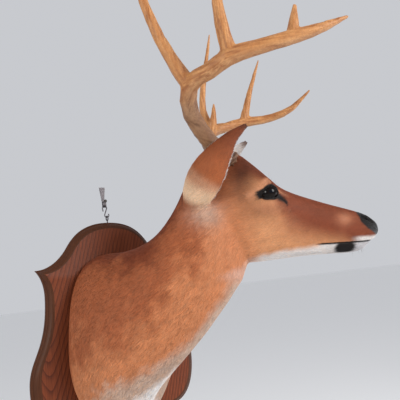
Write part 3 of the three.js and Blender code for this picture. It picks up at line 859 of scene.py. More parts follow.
def addNode(tree, kind, inputs=None, **settings):
    node = tree.nodes.new("ShaderNode" + kind)
    for word, value in settings.items():
        setattr(node, word, value)
    feedAll(tree, node, inputs or {})
    return node


def attribute(tree, name):
    return addNode(tree, "Attribute", attribute_name=name, attribute_type="GEOMETRY")


def noiseOf(tree, scale, detail=3.0, rough=0.55, vector=None):
    inputs = {"Scale": scale, "Detail": detail, "Roughness": rough}
    if vector is not None:
        inputs["Vector"] = vector
    return addNode(tree, "TexNoise", inputs).outputs["Fac"]


def stretch(tree, scale, vector=None):
    # object coordinates, or a given vector, scaled on each axis
    if vector is None:
        vector = addNode(tree, "TexCoord").outputs["Object"]
    return addNode(tree, "VectorMath", {0: vector, 1: scale}, operation="MULTIPLY").outputs[0]


def rangeOf(tree, value, low, high, toLow, toHigh):
    inputs = {"Value": value, "From Min": low, "From Max": high, "To Min": toLow, "To Max": toHigh}
    return addNode(tree, "MapRange", inputs).outputs["Result"]


def noiseTo(tree, value, low, high):
    # spreads a noise between two values, as nearly all of it lies from 0.3 to 0.7
    return rangeOf(tree, value, 0.3, 0.7, low, high)


def mixColour(tree, share, a, b):
    # the Mix node's colours are its sockets 6, 7 and 2; plain colours are given an alpha of 1
    a, b = (colour if isinstance(colour, bpy.types.NodeSocket) else (*colour, 1) for colour in (a, b))
    return addNode(tree, "Mix", {0: share, 6: a, 7: b}, data_type="RGBA").outputs[2]


def mathOf(tree, operation, *values):
    return addNode(tree, "Math", dict(enumerate(values)), operation=operation).outputs[0]


def brighten(tree, colour, amount):
    # multiplies a colour by one number
    return addNode(tree, "VectorMath", {0: colour, "Scale": amount}, operation="SCALE").outputs[0]


def bumpOf(tree, shader, height, distance, strength=1.0):
    node = addNode(tree, "Bump", {"Height": height, "Distance": distance, "Strength": strength})
    tree.links.new(node.outputs["Normal"], shader.inputs["Normal"])


def skinMaterial():
    material, tree, shader = newMaterial("hide under the coat")
    colour = attribute(tree, "coatColour").outputs["Color"]
    bare = attribute(tree, "bareNose").outputs["Fac"]
    streaks = noiseOf(tree, 420, 4)
    # random streaks that also darken the skin on average, a painted shadow of the tufts over it
    feedAll(tree, shader, {
        "Base Color": brighten(tree, colour, noiseTo(tree, streaks, 0.78, 1.05)),
        "Roughness": rangeOf(tree, bare, 0, 1, 0.72, 0.36),
        "Specular IOR Level": 0.3,
    })
    pebbles = addNode(tree, "TexVoronoi", {"Scale": 620.0}, feature="DISTANCE_TO_EDGE").outputs["Distance"]
    pebbles = rangeOf(tree, pebbles, 0, 0.25, 0, 1)
    pebbles = mathOf(tree, "MULTIPLY", pebbles, bare)
    bumpOf(tree, shader, mathOf(tree, "ADD", pebbles, mathOf(tree, "MULTIPLY", streaks, 0.6)), 0.35 * mm)
    return material


def furMaterial(name, roughness):
    material, tree, shader = newMaterial(name)
    colour = attribute(tree, "coatColour").outputs["Color"]
    seed = attribute(tree, "tuftSeed").outputs["Fac"]
    strand = addNode(tree, "UVMap", uv_map="strand").outputs["UV"]
    spread = addNode(tree, "CombineXYZ", {"Z": mathOf(tree, "MULTIPLY", seed, 90.0)}).outputs[0]
    place = addNode(tree, "VectorMath", {0: stretch(tree, (7, 1.1, 1), strand), 1: spread}, operation="ADD")
    hairs = noiseOf(tree, 1.0, 3, 0.6, place.outputs[0])
    along = addNode(tree, "SeparateXYZ", {"Vector": strand}).outputs["Y"]
    # random hair streaks, and roots darker than tips, a painted shade where the tufts meet the skin
    shade = mathOf(tree, "MULTIPLY", noiseTo(tree, hairs, 0.80, 1.18),
                   rangeOf(tree, along, 0, 1, 0.90, 1.08))
    feedAll(tree, shader, {
        "Base Color": brighten(tree, colour, shade),
        "Roughness": roughness,
        "Specular IOR Level": 0.18,
        "Sheen Weight": 0.02,
        "Sheen Roughness": 0.4,
    })
    bumpOf(tree, shader, hairs, 0.12 * mm)
    return material


skin.data.materials.append(skinMaterial())
coatFinish = furMaterial("short flat deer hair", 0.58)
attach(skin, "root")
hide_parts(*fleshNodes)


# eyelids: a smooth ring round each opening, over the seat pressed into the skin

lidPlan = {
    "steps": 112,
    # how far outside the opening each row of the ring lies, in millimetres
    "rows": (-0.7, -0.3, 0.1, 0.6, 1.4, 2.4, 3.6, 4.8, 6.0, 7.4, 9.0, 10.6, 12.2),
    "sink": 0.5,  # of the last row into the skin
    "lookFrom": 60,  # how far out from the eye's middle the skin is looked for
}


def eyeWays(side, turn, rise):
    # directions from the eye's middle at these angles forward and up of where it looks
    looks, fore, above = eyeAxes(side)
    turn, rise = np.radians(turn)[:, None], np.radians(rise)[:, None]
    return (looks * np.cos(turn) + fore * np.sin(turn)) * np.cos(rise) + above * np.sin(rise)


def openingRow(angles, outside):
    # the angles of the points that far outside the opening, by halving the distance from its middle
    near, far = np.zeros(len(angles)), np.full(len(angles), 120.0)
    for _ in range(24):
        middle = (near + far) / 2
        inside = -lidGap(4 + middle * np.cos(angles), -4 + middle * np.sin(angles)) < outside
        near, far = np.where(inside, middle, near), np.where(inside, far, middle)
    return 4 + near * np.cos(angles), -4 + near * np.sin(angles)


def makeLid(side, skinTree):
    steps, rows, start = (lidPlan[word] for word in ("steps", "rows", "lookFrom"))
    angles = np.arange(steps) * 2 * np.pi / steps
    middle = eyeMiddles[side]
    points = []
    for k, outside in enumerate(rows):
        turn, rise = openingRow(angles, outside)
        ways = eyeWays(side, turn, rise)
        onLid = lidRadius(np.full(steps, outside), np.full(steps, eyePlan["radius"]), rise)
        onSkin = np.empty(steps)
        for i, way in enumerate(ways.tolist()):
            hit = skinTree.ray_cast(Vector(middle + np.array(way) * start * mm), -Vector(way), start * mm)
            onSkin[i] = start - (hit[3] / mm if hit[3] is not None else start - eyePlan["radius"])
        onSkin += seatDepth(outside)
        radius = onLid + (onSkin - onLid) * ramp(outside, 1.0, 3.2)
        radius -= lidPlan["sink"] * ramp(k, len(rows) - 3, len(rows) - 1)
        points.append(middle + ways * (radius * mm)[:, None])
    points = np.concatenate(points)
    index = np.arange(len(rows) * steps).reshape(len(rows), steps)
    a, b = index[:-1], index[1:]
    faces = np.stack((a, b, np.roll(b, -1, 1), np.roll(a, -1, 1)), axis=-1).reshape(-1, 4)
    if side == "right":
        faces = faces[:, ::-1]
    name = f"eyelid_{side}"
    mesh = meshFrom(name, points, faces)
    edges = edgesOf(mesh)
    rim = np.repeat(np.isin(np.arange(len(rows)), (0, len(rows) - 1)), steps)
    movePoints(mesh, relax(points, edges, np.where(rim, 0, 0.8), 12))
    none = np.zeros(len(points))
    colourPoints(mesh, "coatColour", coatColour(*surfaceOf(mesh), none, none, none))
    numberPoints(mesh, "bareNose", 0.9 * ramp(4.2 - eyeOutside(points), 0, 1.5))
    addCoatPiece(name, mesh, skin.data.materials[0])


# eyeballs: a dark brown iris with a level oblong pupil, under a clear polished coat

eyeballPlan = {
    "around": 72,
    "rows": 40,
    "irisReach": 33,  # degrees from the middle of the pupil
    "pupil": (21, 10.5),  # degrees along and up
    "irisDark": (0.0022, 0.0013, 0.0010),
    "irisLight": (0.0070, 0.0034, 0.0022),
    "pupilTone": (0.0020, 0.0026, 0.0055),
    "whiteOfEye": (0.0035, 0.0024, 0.0020),
}


def makeEyeball(side):
    plan = eyeballPlan
    tips = np.linspace(0, np.pi, plan["rows"] + 1)[1:-1]
    angles = np.arange(plan["around"]) * 2 * np.pi / plan["around"]
    looks, fore, above = eyeAxes(side)
    ways = [looks[None]]
    for tip in tips:
        rim = fore * np.cos(angles)[:, None] + above * np.sin(angles)[:, None]
        ways.append(looks * np.cos(tip) + rim * np.sin(tip))
    ways.append(-looks[None])
    ways = np.concatenate(ways)
    points = eyeMiddles[side] + ways * eyePlan["radius"] * mm
    around, last = plan["around"], len(points) - 1
    bm = bmesh.new()
    corners = [bm.verts.new(p) for p in points.tolist()]
    for i in range(around):
        j = (i + 1) % around
        bm.faces.new((corners[0], corners[1 + i], corners[1 + j]))
        for k in range(len(tips) - 1):
            row = 1 + k * around
            bm.faces.new((corners[row + i], corners[row + around + i], corners[row + around + j],
                          corners[row + j]))
        row = 1 + (len(tips) - 1) * around
        bm.faces.new((corners[last], corners[row + j], corners[row + i]))
    bmesh.ops.recalc_face_normals(bm, faces=bm.faces)
    mesh = meshOf(bm, f"eyeball_{side}")
    mesh.shade_smooth()
    local = np.stack((ways @ fore, ways @ above, ways @ looks), axis=1)
    addLayer(mesh, "fromPupil", "FLOAT_VECTOR", "vector", local)
    mesh.materials.append(eyeGlass)
    ball = addObject(f"eyeball_{side}", mesh)
    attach(ball, "root")
    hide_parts(f"eye_{side}")


def eyeMaterial(plan):
    material, tree, shader = newMaterial("glass eye")
    place = attribute(tree, "fromPupil").outputs["Vector"]
    parts = addNode(tree, "SeparateXYZ", {"Vector": place}).outputs
    along, up = (math.sin(math.radians(angle)) for angle in plan["pupil"])
    flat = addNode(tree, "CombineXYZ", {"X": parts["X"], "Y": parts["Y"]}).outputs[0]
    out = addNode(tree, "VectorMath", {0: flat}, operation="LENGTH").outputs["Value"]
    oval = stretch(tree, (1 / along, 1 / up, 0), place)
    oval = addNode(tree, "VectorMath", {0: oval}, operation="LENGTH").outputs["Value"]
    spokes = noiseOf(tree, 1, 3, 0.6, stretch(tree, (30, 30, 2), place))
    iris = mixColour(tree, spokes, plan["irisDark"], plan["irisLight"])
    edge = math.sin(math.radians(plan["irisReach"]))
    outside = rangeOf(tree, out, edge * 0.9, edge * 1.05, 0, 1)
    colour = mixColour(tree, outside, iris, plan["whiteOfEye"])
    colour = mixColour(tree, rangeOf(tree, oval, 0.85, 1.1, 1, 0), colour, plan["pupilTone"])
    feedAll(tree, shader, {
        "Base Color": colour,
        "Roughness": 0.25,
        "Specular IOR Level": 0.0,
        "Coat Weight": 0.28,
        "Coat Roughness": 0.02,
    })
    return material


skinTree = treeOf(skin.data)
eyeGlass = eyeMaterial(eyeballPlan)
for side in sideSigns:
    makeLid(side, skinTree)
    makeEyeball(side)
print("eyes and lids are in")


# coat: thin tufts over the skin, lying with the hair

tuftPlan = {
    "seed": 11,
    "cover": 5.0,  # how many tufts deep the coat lies
    "mostPerPiece": 32000,
    # tuft length in millimetres at places along the head, from its back to the nose
    "faceLength": ((-120, 13), (-70, 10.5), (-20, 8), (40, 7), (100, 5.4), (140, 4.4), (175, 3.2)),
    "bodyLength": 14,
    "earLength": 7,
    # hair round the feet of the antlers: its middle, reach, and how much longer and higher it stands
    "crownHair": ((-46, 26, 82), (16, 24, 16), 9, 4.5),
    "widthShare": 0.10,  # of the length
    "width": (0.65, 1.35),
    # tufts are shorter near the eyes and mouth: least share of the length, up to where, and where it is whole
    "nearEyes": (0.28, 7, 26),
    "nearMouth": (0.55, 2, 12),
    "lift": {"body": 1.1, "face": 0.55, "ear": 0.5},  # how far the tips stand off the skin
    "stray": 0.20,  # how far tufts turn from the lie of the coat
    "tone": 0.09,  # how much one tuft's colour differs from the next
    "warmth": 0.05,  # and how much redder or yellower it is
    "patch": 0.003,  # each tuft's size on the OFBake map
    # along a tuft: how far, as a share of its length, and how high, as a share of its lift
    "spine": ((0.0, -0.25), (0.45, 0.75), (1.0, 1.0)),
    "ridge": 0.28,  # how high a tuft's middle stands over its edges, as a share of its width
    "wallClear": 0.5 * mm,
    # where the coat's pieces part: the shoulder's from the wall, the rest on the head's frame
    "pieceEnds": {"shoulder": -130 * mm, "head": -95, "crown": -20, "bridge": 55, "muzzle": 118},
}


def skinUnwrap():
    # an unwrap of the skin's own shape, as each corner's place on the map
    keep = bpy.context.view_layer.objects.active
    bpy.context.view_layer.objects.active = skin
    skin.select_set(True)
    bpy.ops.object.mode_set(mode="EDIT")
    bpy.ops.mesh.select_all(action="SELECT")
    bpy.ops.uv.smart_project(angle_limit=math.radians(60), island_margin=0.004)
    bpy.ops.object.mode_set(mode="OBJECT")
    skin.select_set(False)
    bpy.context.view_layer.objects.active = keep
    layer = skin.data.uv_layers.active
    layer.name = "OFBake"
    return readRows(layer.data, "uv", 2)


def tuftField():
    # what the tufts follow at every point of the skin: lie, length, lift, colour
    mesh = skin.data
    points, normals = surfaceOf(mesh)
    ears, bare = masks["ears"], masks["bare"]
    folded = mirrored(toHead(points))
    h, _, v = folded.T
    (face,) = tableAt(h, tuftPlan["faceLength"])
    onHead = ramp(aheadOfNeck(h, v), -110, -60)
    length = tuftPlan["bodyLength"] * (1 - onHead) + face * onHead
    length = length * (1 - ears) + tuftPlan["earLength"] * ears
    outside = eyeOutside(points)
    for word, gap in (("nearEyes", outside), ("nearMouth", mouthGapOf(folded))):
        least, near, whole = tuftPlan[word]
        length = length * (least + (1 - least) * ramp(gap, near, whole))
    lift = tuftPlan["lift"]
    height = lift["body"] * (1 - onHead) + lift["face"] * onHead
    height = height * (1 - ears) + lift["ear"] * ears
    middle, reach, longer, higher = tuftPlan["crownHair"]
    crown = spot(folded, middle, reach) * (1 - ears)
    length = length + longer * crown
    height = height + higher * crown
    wanted = (1 - ramp(bare, 0.05, 0.4)) * ramp(outside, 3.8, 5.2)
    wanted = wanted * (1 - ramp(np.maximum(masks["lip"], masks["duct"]), 0.25, 0.5))
    wanted = wanted * (1 - eyeCornerShare(folded))
    wanted = wanted * (1 - ramp(masks["nostril"], 0.1, 0.3)) * ramp(-points[:, 1], 20.6 * mm, 22.5 * mm)
    return {
        "point": points, "normal": normals, "lie": coatLie(points, normals, ears),
        "length": length, "height": height, "wanted": wanted, "ears": ears,
        "colour": readRows(mesh.attributes["coatColour"].data, "color", 4)[:, :3],
    }


def coatRegions(places, ears, middle):
    # which piece of the coat each triangle belongs to
    h, l, v = places.T
    across, along, _ = middle.T
    ends = tuftPlan["pieceEnds"]
    onHead = aheadOfNeck(h, v) > ends["head"]

    def paired(piece, left=l > 0):
        return np.where(left, f"coat_{piece}_left", f"coat_{piece}_right").astype("U20")

    region = paired("neck")
    region = np.where(along >= ends["shoulder"], paired("shoulder", across > 0), region)
    region = np.where(onHead, paired("cheek"), region)
    region[onHead & (v > ends["crown"])] = "coat_crown"
    region[onHead & (h > ends["bridge"])] = "coat_bridge"
    region[onHead & (h > ends["muzzle"])] = "coat_muzzle"
    return np.where(ears > 0.5, paired("ear"), region)


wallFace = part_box("plaque")[0][1] - tuftPlan["wallClear"]  # the plaque's front, which tips stay clear of

# a tuft's faces over its three root points, its three middle ones and its tip, then where those
# points lie across it and along it
tuftFaces = np.array(((0, 1, 4), (0, 4, 3), (1, 2, 5), (1, 5, 4), (3, 4, 6), (4, 5, 6)))
tuftStrand = np.array(((0, 0), (0.5, 0), (1, 0), (0, 0.45), (0.5, 0.45), (1, 0.45), (0.5, 1)))


def tuftPoints(root, normal, lie, length, width, height, plan):
    # the points of every tuft, which follows the skin from its root
    across = np.cross(normal, lie)
    spine = []
    for along, lifted in plan["spine"]:
        place = root + lie * (length * along)[:, None]
        if along:
            for i, p in enumerate(place.tolist()):
                near, slope, _, _ = skinTree.find_nearest(p)
                place[i] = near
                normal[i] = 0.5 * normal[i] + 0.5 * np.array(slope)
            normal = unit(normal)
        spine.append((place + normal * (height * lifted)[:, None], normal.copy()))
    (p0, n0), (p1, n1), (p2, _) = spine
    ridge = plan["ridge"]
    half = width[:, None] / 2
    points = np.stack((
        p0 - across * half * 0.8, p0 + n0 * half * ridge, p0 + across * half * 0.8,
        p1 - across * half, p1 + n1 * half * ridge * 2, p1 + across * half,
        p2,
    ), axis=1)
    points[..., 1] = np.minimum(points[..., 1], wallFace)
    return points


def growTufts(name, chosen, field, triangles, loops, rng, plan):
    count = len(chosen)
    share = rng.random((count, 2))
    over = share.sum(1) > 1
    share[over] = 1 - share[over]
    mix = np.stack((1 - share.sum(1), share[:, 0], share[:, 1]), axis=1)[..., None]

    def at(values):
        picked = values[triangles[chosen]]
        return (picked * (mix if values.ndim > 1 else mix[..., 0])).sum(1)

    root, normal, lie = at(field["point"]), unit(at(field["normal"])), unit(at(field["lie"]))
    length, height, colour = at(field["length"]) * mm, at(field["height"]) * mm, at(field["colour"])
    lie = unit(lie + np.cross(normal, lie) * rng.normal(0, plan["stray"], count)[:, None])
    length = length * rng.uniform(0.75, 1.25, count)
    width = np.clip(length * plan["widthShare"], plan["width"][0] * mm, plan["width"][1] * mm)
    width = width * rng.uniform(0.8, 1.2, count)
    height = height * rng.uniform(0.55, 1.0, count)
    points = tuftPoints(root, normal, lie, length, width, height, plan)
    perTuft = points.shape[1]
    index = np.arange(count)[:, None, None] * perTuft
    mesh = meshFrom(name, points.reshape(-1, 3), (index + tuftFaces).reshape(-1, 3))
    tone = 1 + rng.normal(0, plan["tone"], count)
    warm = rng.normal(0, plan["warmth"], count)
    tint = np.stack((tone * (1 + warm), tone, tone * (1 - warm)), axis=1)
    colourPoints(mesh, "coatColour", np.repeat(colour * np.clip(tint, 0.5, 1.6), perTuft, axis=0))
    numberPoints(mesh, "tuftSeed", np.repeat(rng.random(count), perTuft))
    corner = tuftFaces.ravel()
    strand = np.tile(tuftStrand[corner], (count, 1))
    rootUv = (skinUv[loops[chosen]] * mix).sum(1)
    bake = np.repeat(rootUv, len(corner), axis=0) + (strand - 0.5) * plan["patch"]
    for layerName, values in (("OFBake", bake), ("strand", strand)):
        layer = mesh.uv_layers.new(name=layerName)
        layer.data.foreach_set("uv", np.asarray(values, np.float32).ravel())
    addCoatPiece(name, mesh, coatFinish)


def growCoat(label, field, plan, rng, regionOf):
    # plants tufts by how much each triangle wants, in pieces that regionOf names
    triangles, loops = trianglesOf(skin.data), trianglesOf(skin.data, "loops")
    a, b, c = (field["point"][triangles[:, k]] for k in range(3))
    area = np.linalg.norm(np.cross(b - a, c - a), axis=1) / 2
    length = field["length"][triangles].mean(1)
    width = np.clip(length * plan["widthShare"], *plan["width"])
    weight = area / (length * width * mm * mm) * plan["cover"] * field["wanted"][triangles].mean(1)
    middle = field["point"][triangles].mean(1)
    region = regionOf(toHead(middle), field["ears"][triangles].mean(1), middle)
    total = 0
    for name in sorted(set(region)):
        own = np.flatnonzero(region == name)
        share = weight[own]
        count = int(min(share.sum(), plan["mostPerPiece"]))
        if count < 1:
            continue
        chosen = own[np.searchsorted(np.cumsum(share) / share.sum(), rng.random(count))]
        growTufts(str(name), chosen, field, triangles, loops, rng, plan)
        total += count
        print(name, "wants", int(share.sum()), "and has", count, "tufts")
    print(label, "has", total, "tufts and", total * len(tuftFaces), "triangles")


skinUv = skinUnwrap()
print("skin is unwrapped")
growCoat("the coat", tuftField(), tuftPlan, np.random.default_rng(tuftPlan["seed"]), coatRegions)


# longer hair in the ears, lashes and whiskers

hairPlan = {
    "seed": 23,
    "earHair": {"length": 19, "lift": 3.0, "width": (0.7, 1.0), "widthShare": 0.05, "cover": 1.5},
    "thick": 0.11,  # radius of a lash or whisker at its root, in millimetres
    "steps": 5,
    "lashes": {"count": 34, "length": (6, 10), "span": (28, 158)},  # span: degrees round the opening
    # whiskers: middle and spread of their roots on the head, which way they point, how many, length, tone
    "whiskers": {
        "brow": ((12, 50, 26), (9, 4, 4), (0.45, 0.35, 0.80), 3, (10, 18), (0.30, 0.20, 0.13)),
        "underEye": ((18, 52, -26), (8, 4, 4), (0.30, 0.65, -0.60), 4, (8, 14), (0.10, 0.06, 0.04)),
        "lip": ((166, 22, -99), (15, 4, 5), (-0.10, 0.80, -0.50), 10, (8, 16), (0.16, 0.12, 0.10)),
        "chin": ((156, 12, -124), (14, 8, 2), (0.10, 0.25, -0.95), 8, (6, 11), (0.10, 0.07, 0.06)),
    },
    "lashTone": (0.012, 0.008, 0.007),
}


def makeHairs(name, roots, ways, lengths, tones, sag=0.25):
    # one mesh of thin tapered three-sided hairs
    steps, thick = hairPlan["steps"], hairPlan["thick"] * mm
    ways = unit(ways)
    side = unit(np.cross(ways, (0.31, 0.2, 0.93)))
    other = np.cross(ways, side)
    rings = []
    for k in range(steps):
        along = k / (steps - 1)
        middle = roots + ways * (lengths * (along - 0.04))[:, None]
        middle = middle - np.array((0, 0, 1)) * (lengths * sag * along ** 2)[:, None]
        radius = thick * (1 - 0.92 * along)
        for corner in range(3):
            turn = corner * 2 * np.pi / 3
            rings.append(middle + (side * math.cos(turn) + other * math.sin(turn)) * radius)
    points = np.stack(rings, axis=1)
    shape = []
    for k in range(steps - 1):
        for corner in range(3):
            a, b = 3 * k + corner, 3 * k + (corner + 1) % 3
            shape += [(a, b, b + 3), (a, b + 3, a + 3)]
    last = 3 * (steps - 1)
    shape += [(2, 1, 0), (last, last + 1, last + 2)]
    faces = (np.arange(len(roots))[:, None, None] * points.shape[1] + np.array(shape)[None]).reshape(-1, 3)
    mesh = meshFrom(name, points.reshape(-1, 3), faces)
    colourPoints(mesh, "coatColour", np.repeat(tones, points.shape[1], axis=0))
    addCoatPiece(name, mesh, whiskerFinish)


def whiskerMaterial():
    material, tree, shader = newMaterial("lash and whisker")
    colour = attribute(tree, "coatColour").outputs["Color"]
    shade = noiseTo(tree, noiseOf(tree, 300), 0.8, 1.2)
    feedAll(tree, shader, {"Base Color": brighten(tree, colour, shade), "Roughness": 0.4})
    return material


def makeLashes(side, rng):
    plan = hairPlan["lashes"]
    angles = np.radians(np.linspace(*plan["span"], plan["count"])) + rng.normal(0, 0.02, plan["count"])
    turn, rise = openingRow(angles, 0.2)
    ways = eyeWays(side, turn, rise)
    roots = eyeMiddles[side] + ways * (eyePlan["radius"] + 1.0) * mm
    fan = eyeWays(side, turn * 1.25, rise + 26) + 0.35 * forward
    lengths = rng.uniform(*plan["length"], plan["count"]) * mm
    makeHairs(f"lashes_{side}", roots, fan, lengths, np.tile(hairPlan["lashTone"], (plan["count"], 1)), -0.12)


def makeWhiskers(rng):
    for name, (middle, spread, way, count, length, tone) in hairPlan["whiskers"].items():
        roots, ways = [], []
        for sign in sideSigns.values():
            for _ in range(count):
                place = np.array(middle) + rng.normal(0, 1, 3) * np.array(spread) * 0.6
                place[1] *= sign
                near = skinTree.find_nearest(Vector(fromHead(place)))[0]
                roots.append(near)
                ways.append(headWay(np.array(way) * (1, sign, 1) + rng.normal(0, 0.22, 3)))
        lengths = rng.uniform(*length, len(roots)) * mm
        tones = np.array(tone) * rng.uniform(0.7, 1.3, len(roots))[:, None]
        makeHairs(f"whiskers_{name}", np.array(roots), np.array(ways), lengths, tones)


def makeEarHair(plan, rng):
    # long pale hair over the inside of the ears and along their front edges
    mesh = skin.data
    points, normals = surfaceOf(mesh)
    places = toHead(points)
    _, along = lineDistance(mirrored(places), coatPlan["earLine"])
    field = tuftField()
    inside = earInside(points, normals)
    field["wanted"] = masks["ears"] * inside * (1 - ramp(along, 0.72, 0.90)) * ramp(along, 0.08, 0.2)
    field["length"] = np.full(len(points), plan["length"]) * (1 - 0.5 * along)
    field["height"] = np.full(len(points), plan["lift"])
    field["colour"] = np.tile(np.array(coatPlan["colours"]["white"]) * 0.96, (len(points), 1))
    growCoat("ear_hair", field, {**tuftPlan, **plan}, rng, lambda places, ears, middle: np.where(
        places[:, 1] > 0, "ear_hair_left", "ear_hair_right"))


whiskerFinish = whiskerMaterial()
hairRandom = np.random.default_rng(hairPlan["seed"])
for side in sideSigns:
    makeLashes(side, hairRandom)
makeWhiskers(hairRandom)
makeEarHair(hairPlan["earHair"], hairRandom)
print("ear hair, lashes and whiskers are in")


# antlers: one mesh a side, with grain running along every branch

antlerPlan = {
    "seed": 5,
    "cell": 1.5 * mm,
    "swell": {"rest": 0.5},
    "smoothing": 24,
    "forkRounds": 70,
    "forkPush": 1.6,  # how far each round lets a fork out, as a share of the way to its neighbours
    "grainRise": 0.09,  # millimetres
    "ridgeRise": 0.22,
    "burr": ((-64.7, 35.0, 77.6), 25),  # its middle on the head and its reach
    "pearlSize": 4.2 * mm,
    "pearlRise": 1.5,
    "colours": {
        "groove": (0.255, 0.082, 0.023),
        "ridge": (0.550, 0.265, 0.098),
        "lowGroove": (0.120, 0.050, 0.023),
        "lowRidge": (0.290, 0.150, 0.075),
        "pale": (0.470, 0.300, 0.180),
        "tip": (0.460, 0.235, 0.120),
    },
    "foot": (0.085, 0.036, 0.018),  # the colour between the burr's pearls
    "lowEnds": (138, 196),  # how high on the head's frame the grey foot of the beam fades out
    "mix": (0.52, 0.15, 0.14),  # how much ridge colour there is, and how far each grain changes it
    "tipThick": (7.5, 4.5),  # how thin a branch is where its bright tip starts, and how much further it fades
    "paleShare": 0.35,
    "tipShare": 0.75,
}


def spreadAlong(values, edges, weights, rounds):
    # averages each point with its neighbours, by the weight of the edge between them
    a, b = edges.T
    count = len(values)
    total = np.bincount(a, weights, count) + np.bincount(b, weights, count) + 1e-9
    flat = values.reshape(count, -1)
    for _ in range(rounds):
        near = np.stack([
            np.bincount(a, weights * column[b], count) + np.bincount(b, weights * column[a], count)
            for column in flat.T
        ], axis=1) / total[:, None]
        flat = 0.4 * flat + 0.6 * near
    return flat.reshape(values.shape)


def fillForks(mesh, edges, push):
    # lets the hollow between two branches out a little, and leaves what bulges
    points, normals = surfaceOf(mesh)
    wanted = relax(points, edges, 1.0, 1, keepSize=False) - points
    outwards = np.maximum((wanted * normals).sum(1), 0)
    movePoints(mesh, points + normals * outwards[:, None] * push)


def joinAntler(side, names, plan):
    antler = joinedCopy(f"antler_{side}", names, plan["swell"])
    mesh = remeshed(antler, plan["cell"])
    edges = edgesOf(mesh)
    movePoints(mesh, relax(pointsOf(mesh), edges, 1.0, plan["smoothing"]))
    for _ in range(plan["forkRounds"]):
        fillForks(mesh, edges, plan["forkPush"])
    points = relax(pointsOf(mesh), edges, 1.0, plan["smoothing"])
    movePoints(mesh, points)
    return antler, points, edges


def branchGrain(points, normals, edges, rng):
    # fine and coarse variation drawn out along the branches, each from about -2 to 2
    # each branch's own direction is the one that the normals round it least point along
    moments = normals[:, :, None] * normals[:, None, :]
    moments = spreadAlong(moments, edges, np.ones(len(edges)), 22)
    branchWay = np.linalg.eigh(moments)[1][:, :, 0]
    runs = unit(points[edges[:, 1]] - points[edges[:, 0]])
    straight = np.abs((runs * branchWay[edges[:, 0]]).sum(1))
    bands = []
    for sharp, least, rounds in ((12, 0.001, 60), (8, 0.012, 140)):
        band = spreadAlong(rng.normal(0, 1, len(points)), edges, straight ** sharp + least, rounds)
        bands.append(np.clip(band / band.std(), -2.2, 2.2))
    return bands


def branchThickness(mesh, points, normals, edges):
    # how thick the antler is under each point, in millimetres
    tree = treeOf(mesh)
    thick = np.empty(len(points))
    for i, (p, n) in enumerate(zip(points.tolist(), normals.tolist())):
        start = Vector(p) - Vector(n) * 0.2 * mm
        hit = tree.ray_cast(start, -Vector(n), 0.05)
        thick[i] = (hit[3] if hit[3] is not None else 0.0) / mm
    return spreadAlong(thick, edges, np.ones(len(edges)), 6)


def antlerColour(plan, side, points, normals, mix, tip):
    tone = {name: np.array(value) for name, value in plan["colours"].items()}
    low = 1 - ramp(toHead(points)[:, 2] + 9 * mottle(points, 40 * mm, 8), *plan["lowEnds"])
    under = ramp(-(normals @ upward), 0.25, 0.85)
    inwards = ramp(-(normals @ leftward) * sideSigns[side], 0.3, 0.9)
    colour = blend(tone["groove"], tone["ridge"], mix)
    colour = blend(colour, blend(tone["lowGroove"], tone["lowRidge"], mix), low)
    colour = blend(colour, tone["pale"], plan["paleShare"] * under * (1 - tip) * (0.35 + 0.65 * mix))
    colour = blend(colour, tone["pale"], plan["paleShare"] * inwards * low)
    return blend(colour, tone["tip"], plan["tipShare"] * tip)


def makeAntler(side, plan, rng):
    names = sorted(node for node in nodes if node.startswith(f"antler_{side}"))
    antler, points, edges = joinAntler(side, names, plan)
    mesh = antler.data
    normals = pointsOf(mesh, "normal")
    grain, ridge = branchGrain(points, normals, edges, rng)
    middle, reach = plan["burr"]
    gap = np.linalg.norm(mirrored(toHead(points)) - np.array(middle), axis=1)
    burr = ramp(reach - gap, 0, 5)
    thin, fade = plan["tipThick"]
    tip = ramp(thin - branchThickness(mesh, points, normals, edges), 0, fade) * (1 - burr)
    pearls = mottle(points, plan["pearlSize"], 4) + 0.5 * mottle(points, plan["pearlSize"] / 2, 6)
    rise = grain * plan["grainRise"] + ridge * plan["ridgeRise"]
    rise = rise * (1 - 0.7 * tip) + burr * pearls * plan["pearlRise"]
    movePoints(mesh, points + normals * (rise * mm)[:, None])
    level, byGrain, byRidge = plan["mix"]
    mix = np.clip(level + byGrain * grain + byRidge * ridge, 0, 1)
    colour = antlerColour(plan, side, points, normals, mix, tip)
    colour = blend(colour, np.array(plan["foot"]), burr * np.clip(0.85 - 0.6 * pearls, 0, 1))
    colourPoints(mesh, "antlerColour", colour)
    mesh.materials.append(antlerFinish)
    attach(antler, "root")
    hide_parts(*names)
    print(antler.name, "has", len(mesh.polygons), "faces")


def antlerMaterial():
    material, tree, shader = newMaterial("grained antler")
    colour = attribute(tree, "antlerColour").outputs["Color"]
    specks = noiseOf(tree, 520, 4)
    cloud = noiseOf(tree, 60, 3)
    shade = mathOf(tree, "MULTIPLY", noiseTo(tree, specks, 0.84, 1.12), noiseTo(tree, cloud, 0.88, 1.10))
    feedAll(tree, shader, {
        "Base Color": brighten(tree, colour, shade),
        "Roughness": noiseTo(tree, specks, 0.38, 0.58),
        "Specular IOR Level": 0.3,
    })
    bumpOf(tree, shader, specks, 0.15 * mm)
    return material


antlerFinish = antlerMaterial()
antlerRandom = np.random.default_rng(antlerPlan["seed"])
for side in sideSigns:
    makeAntler(side, antlerPlan, antlerRandom)


# plaque: a moulded oak shield

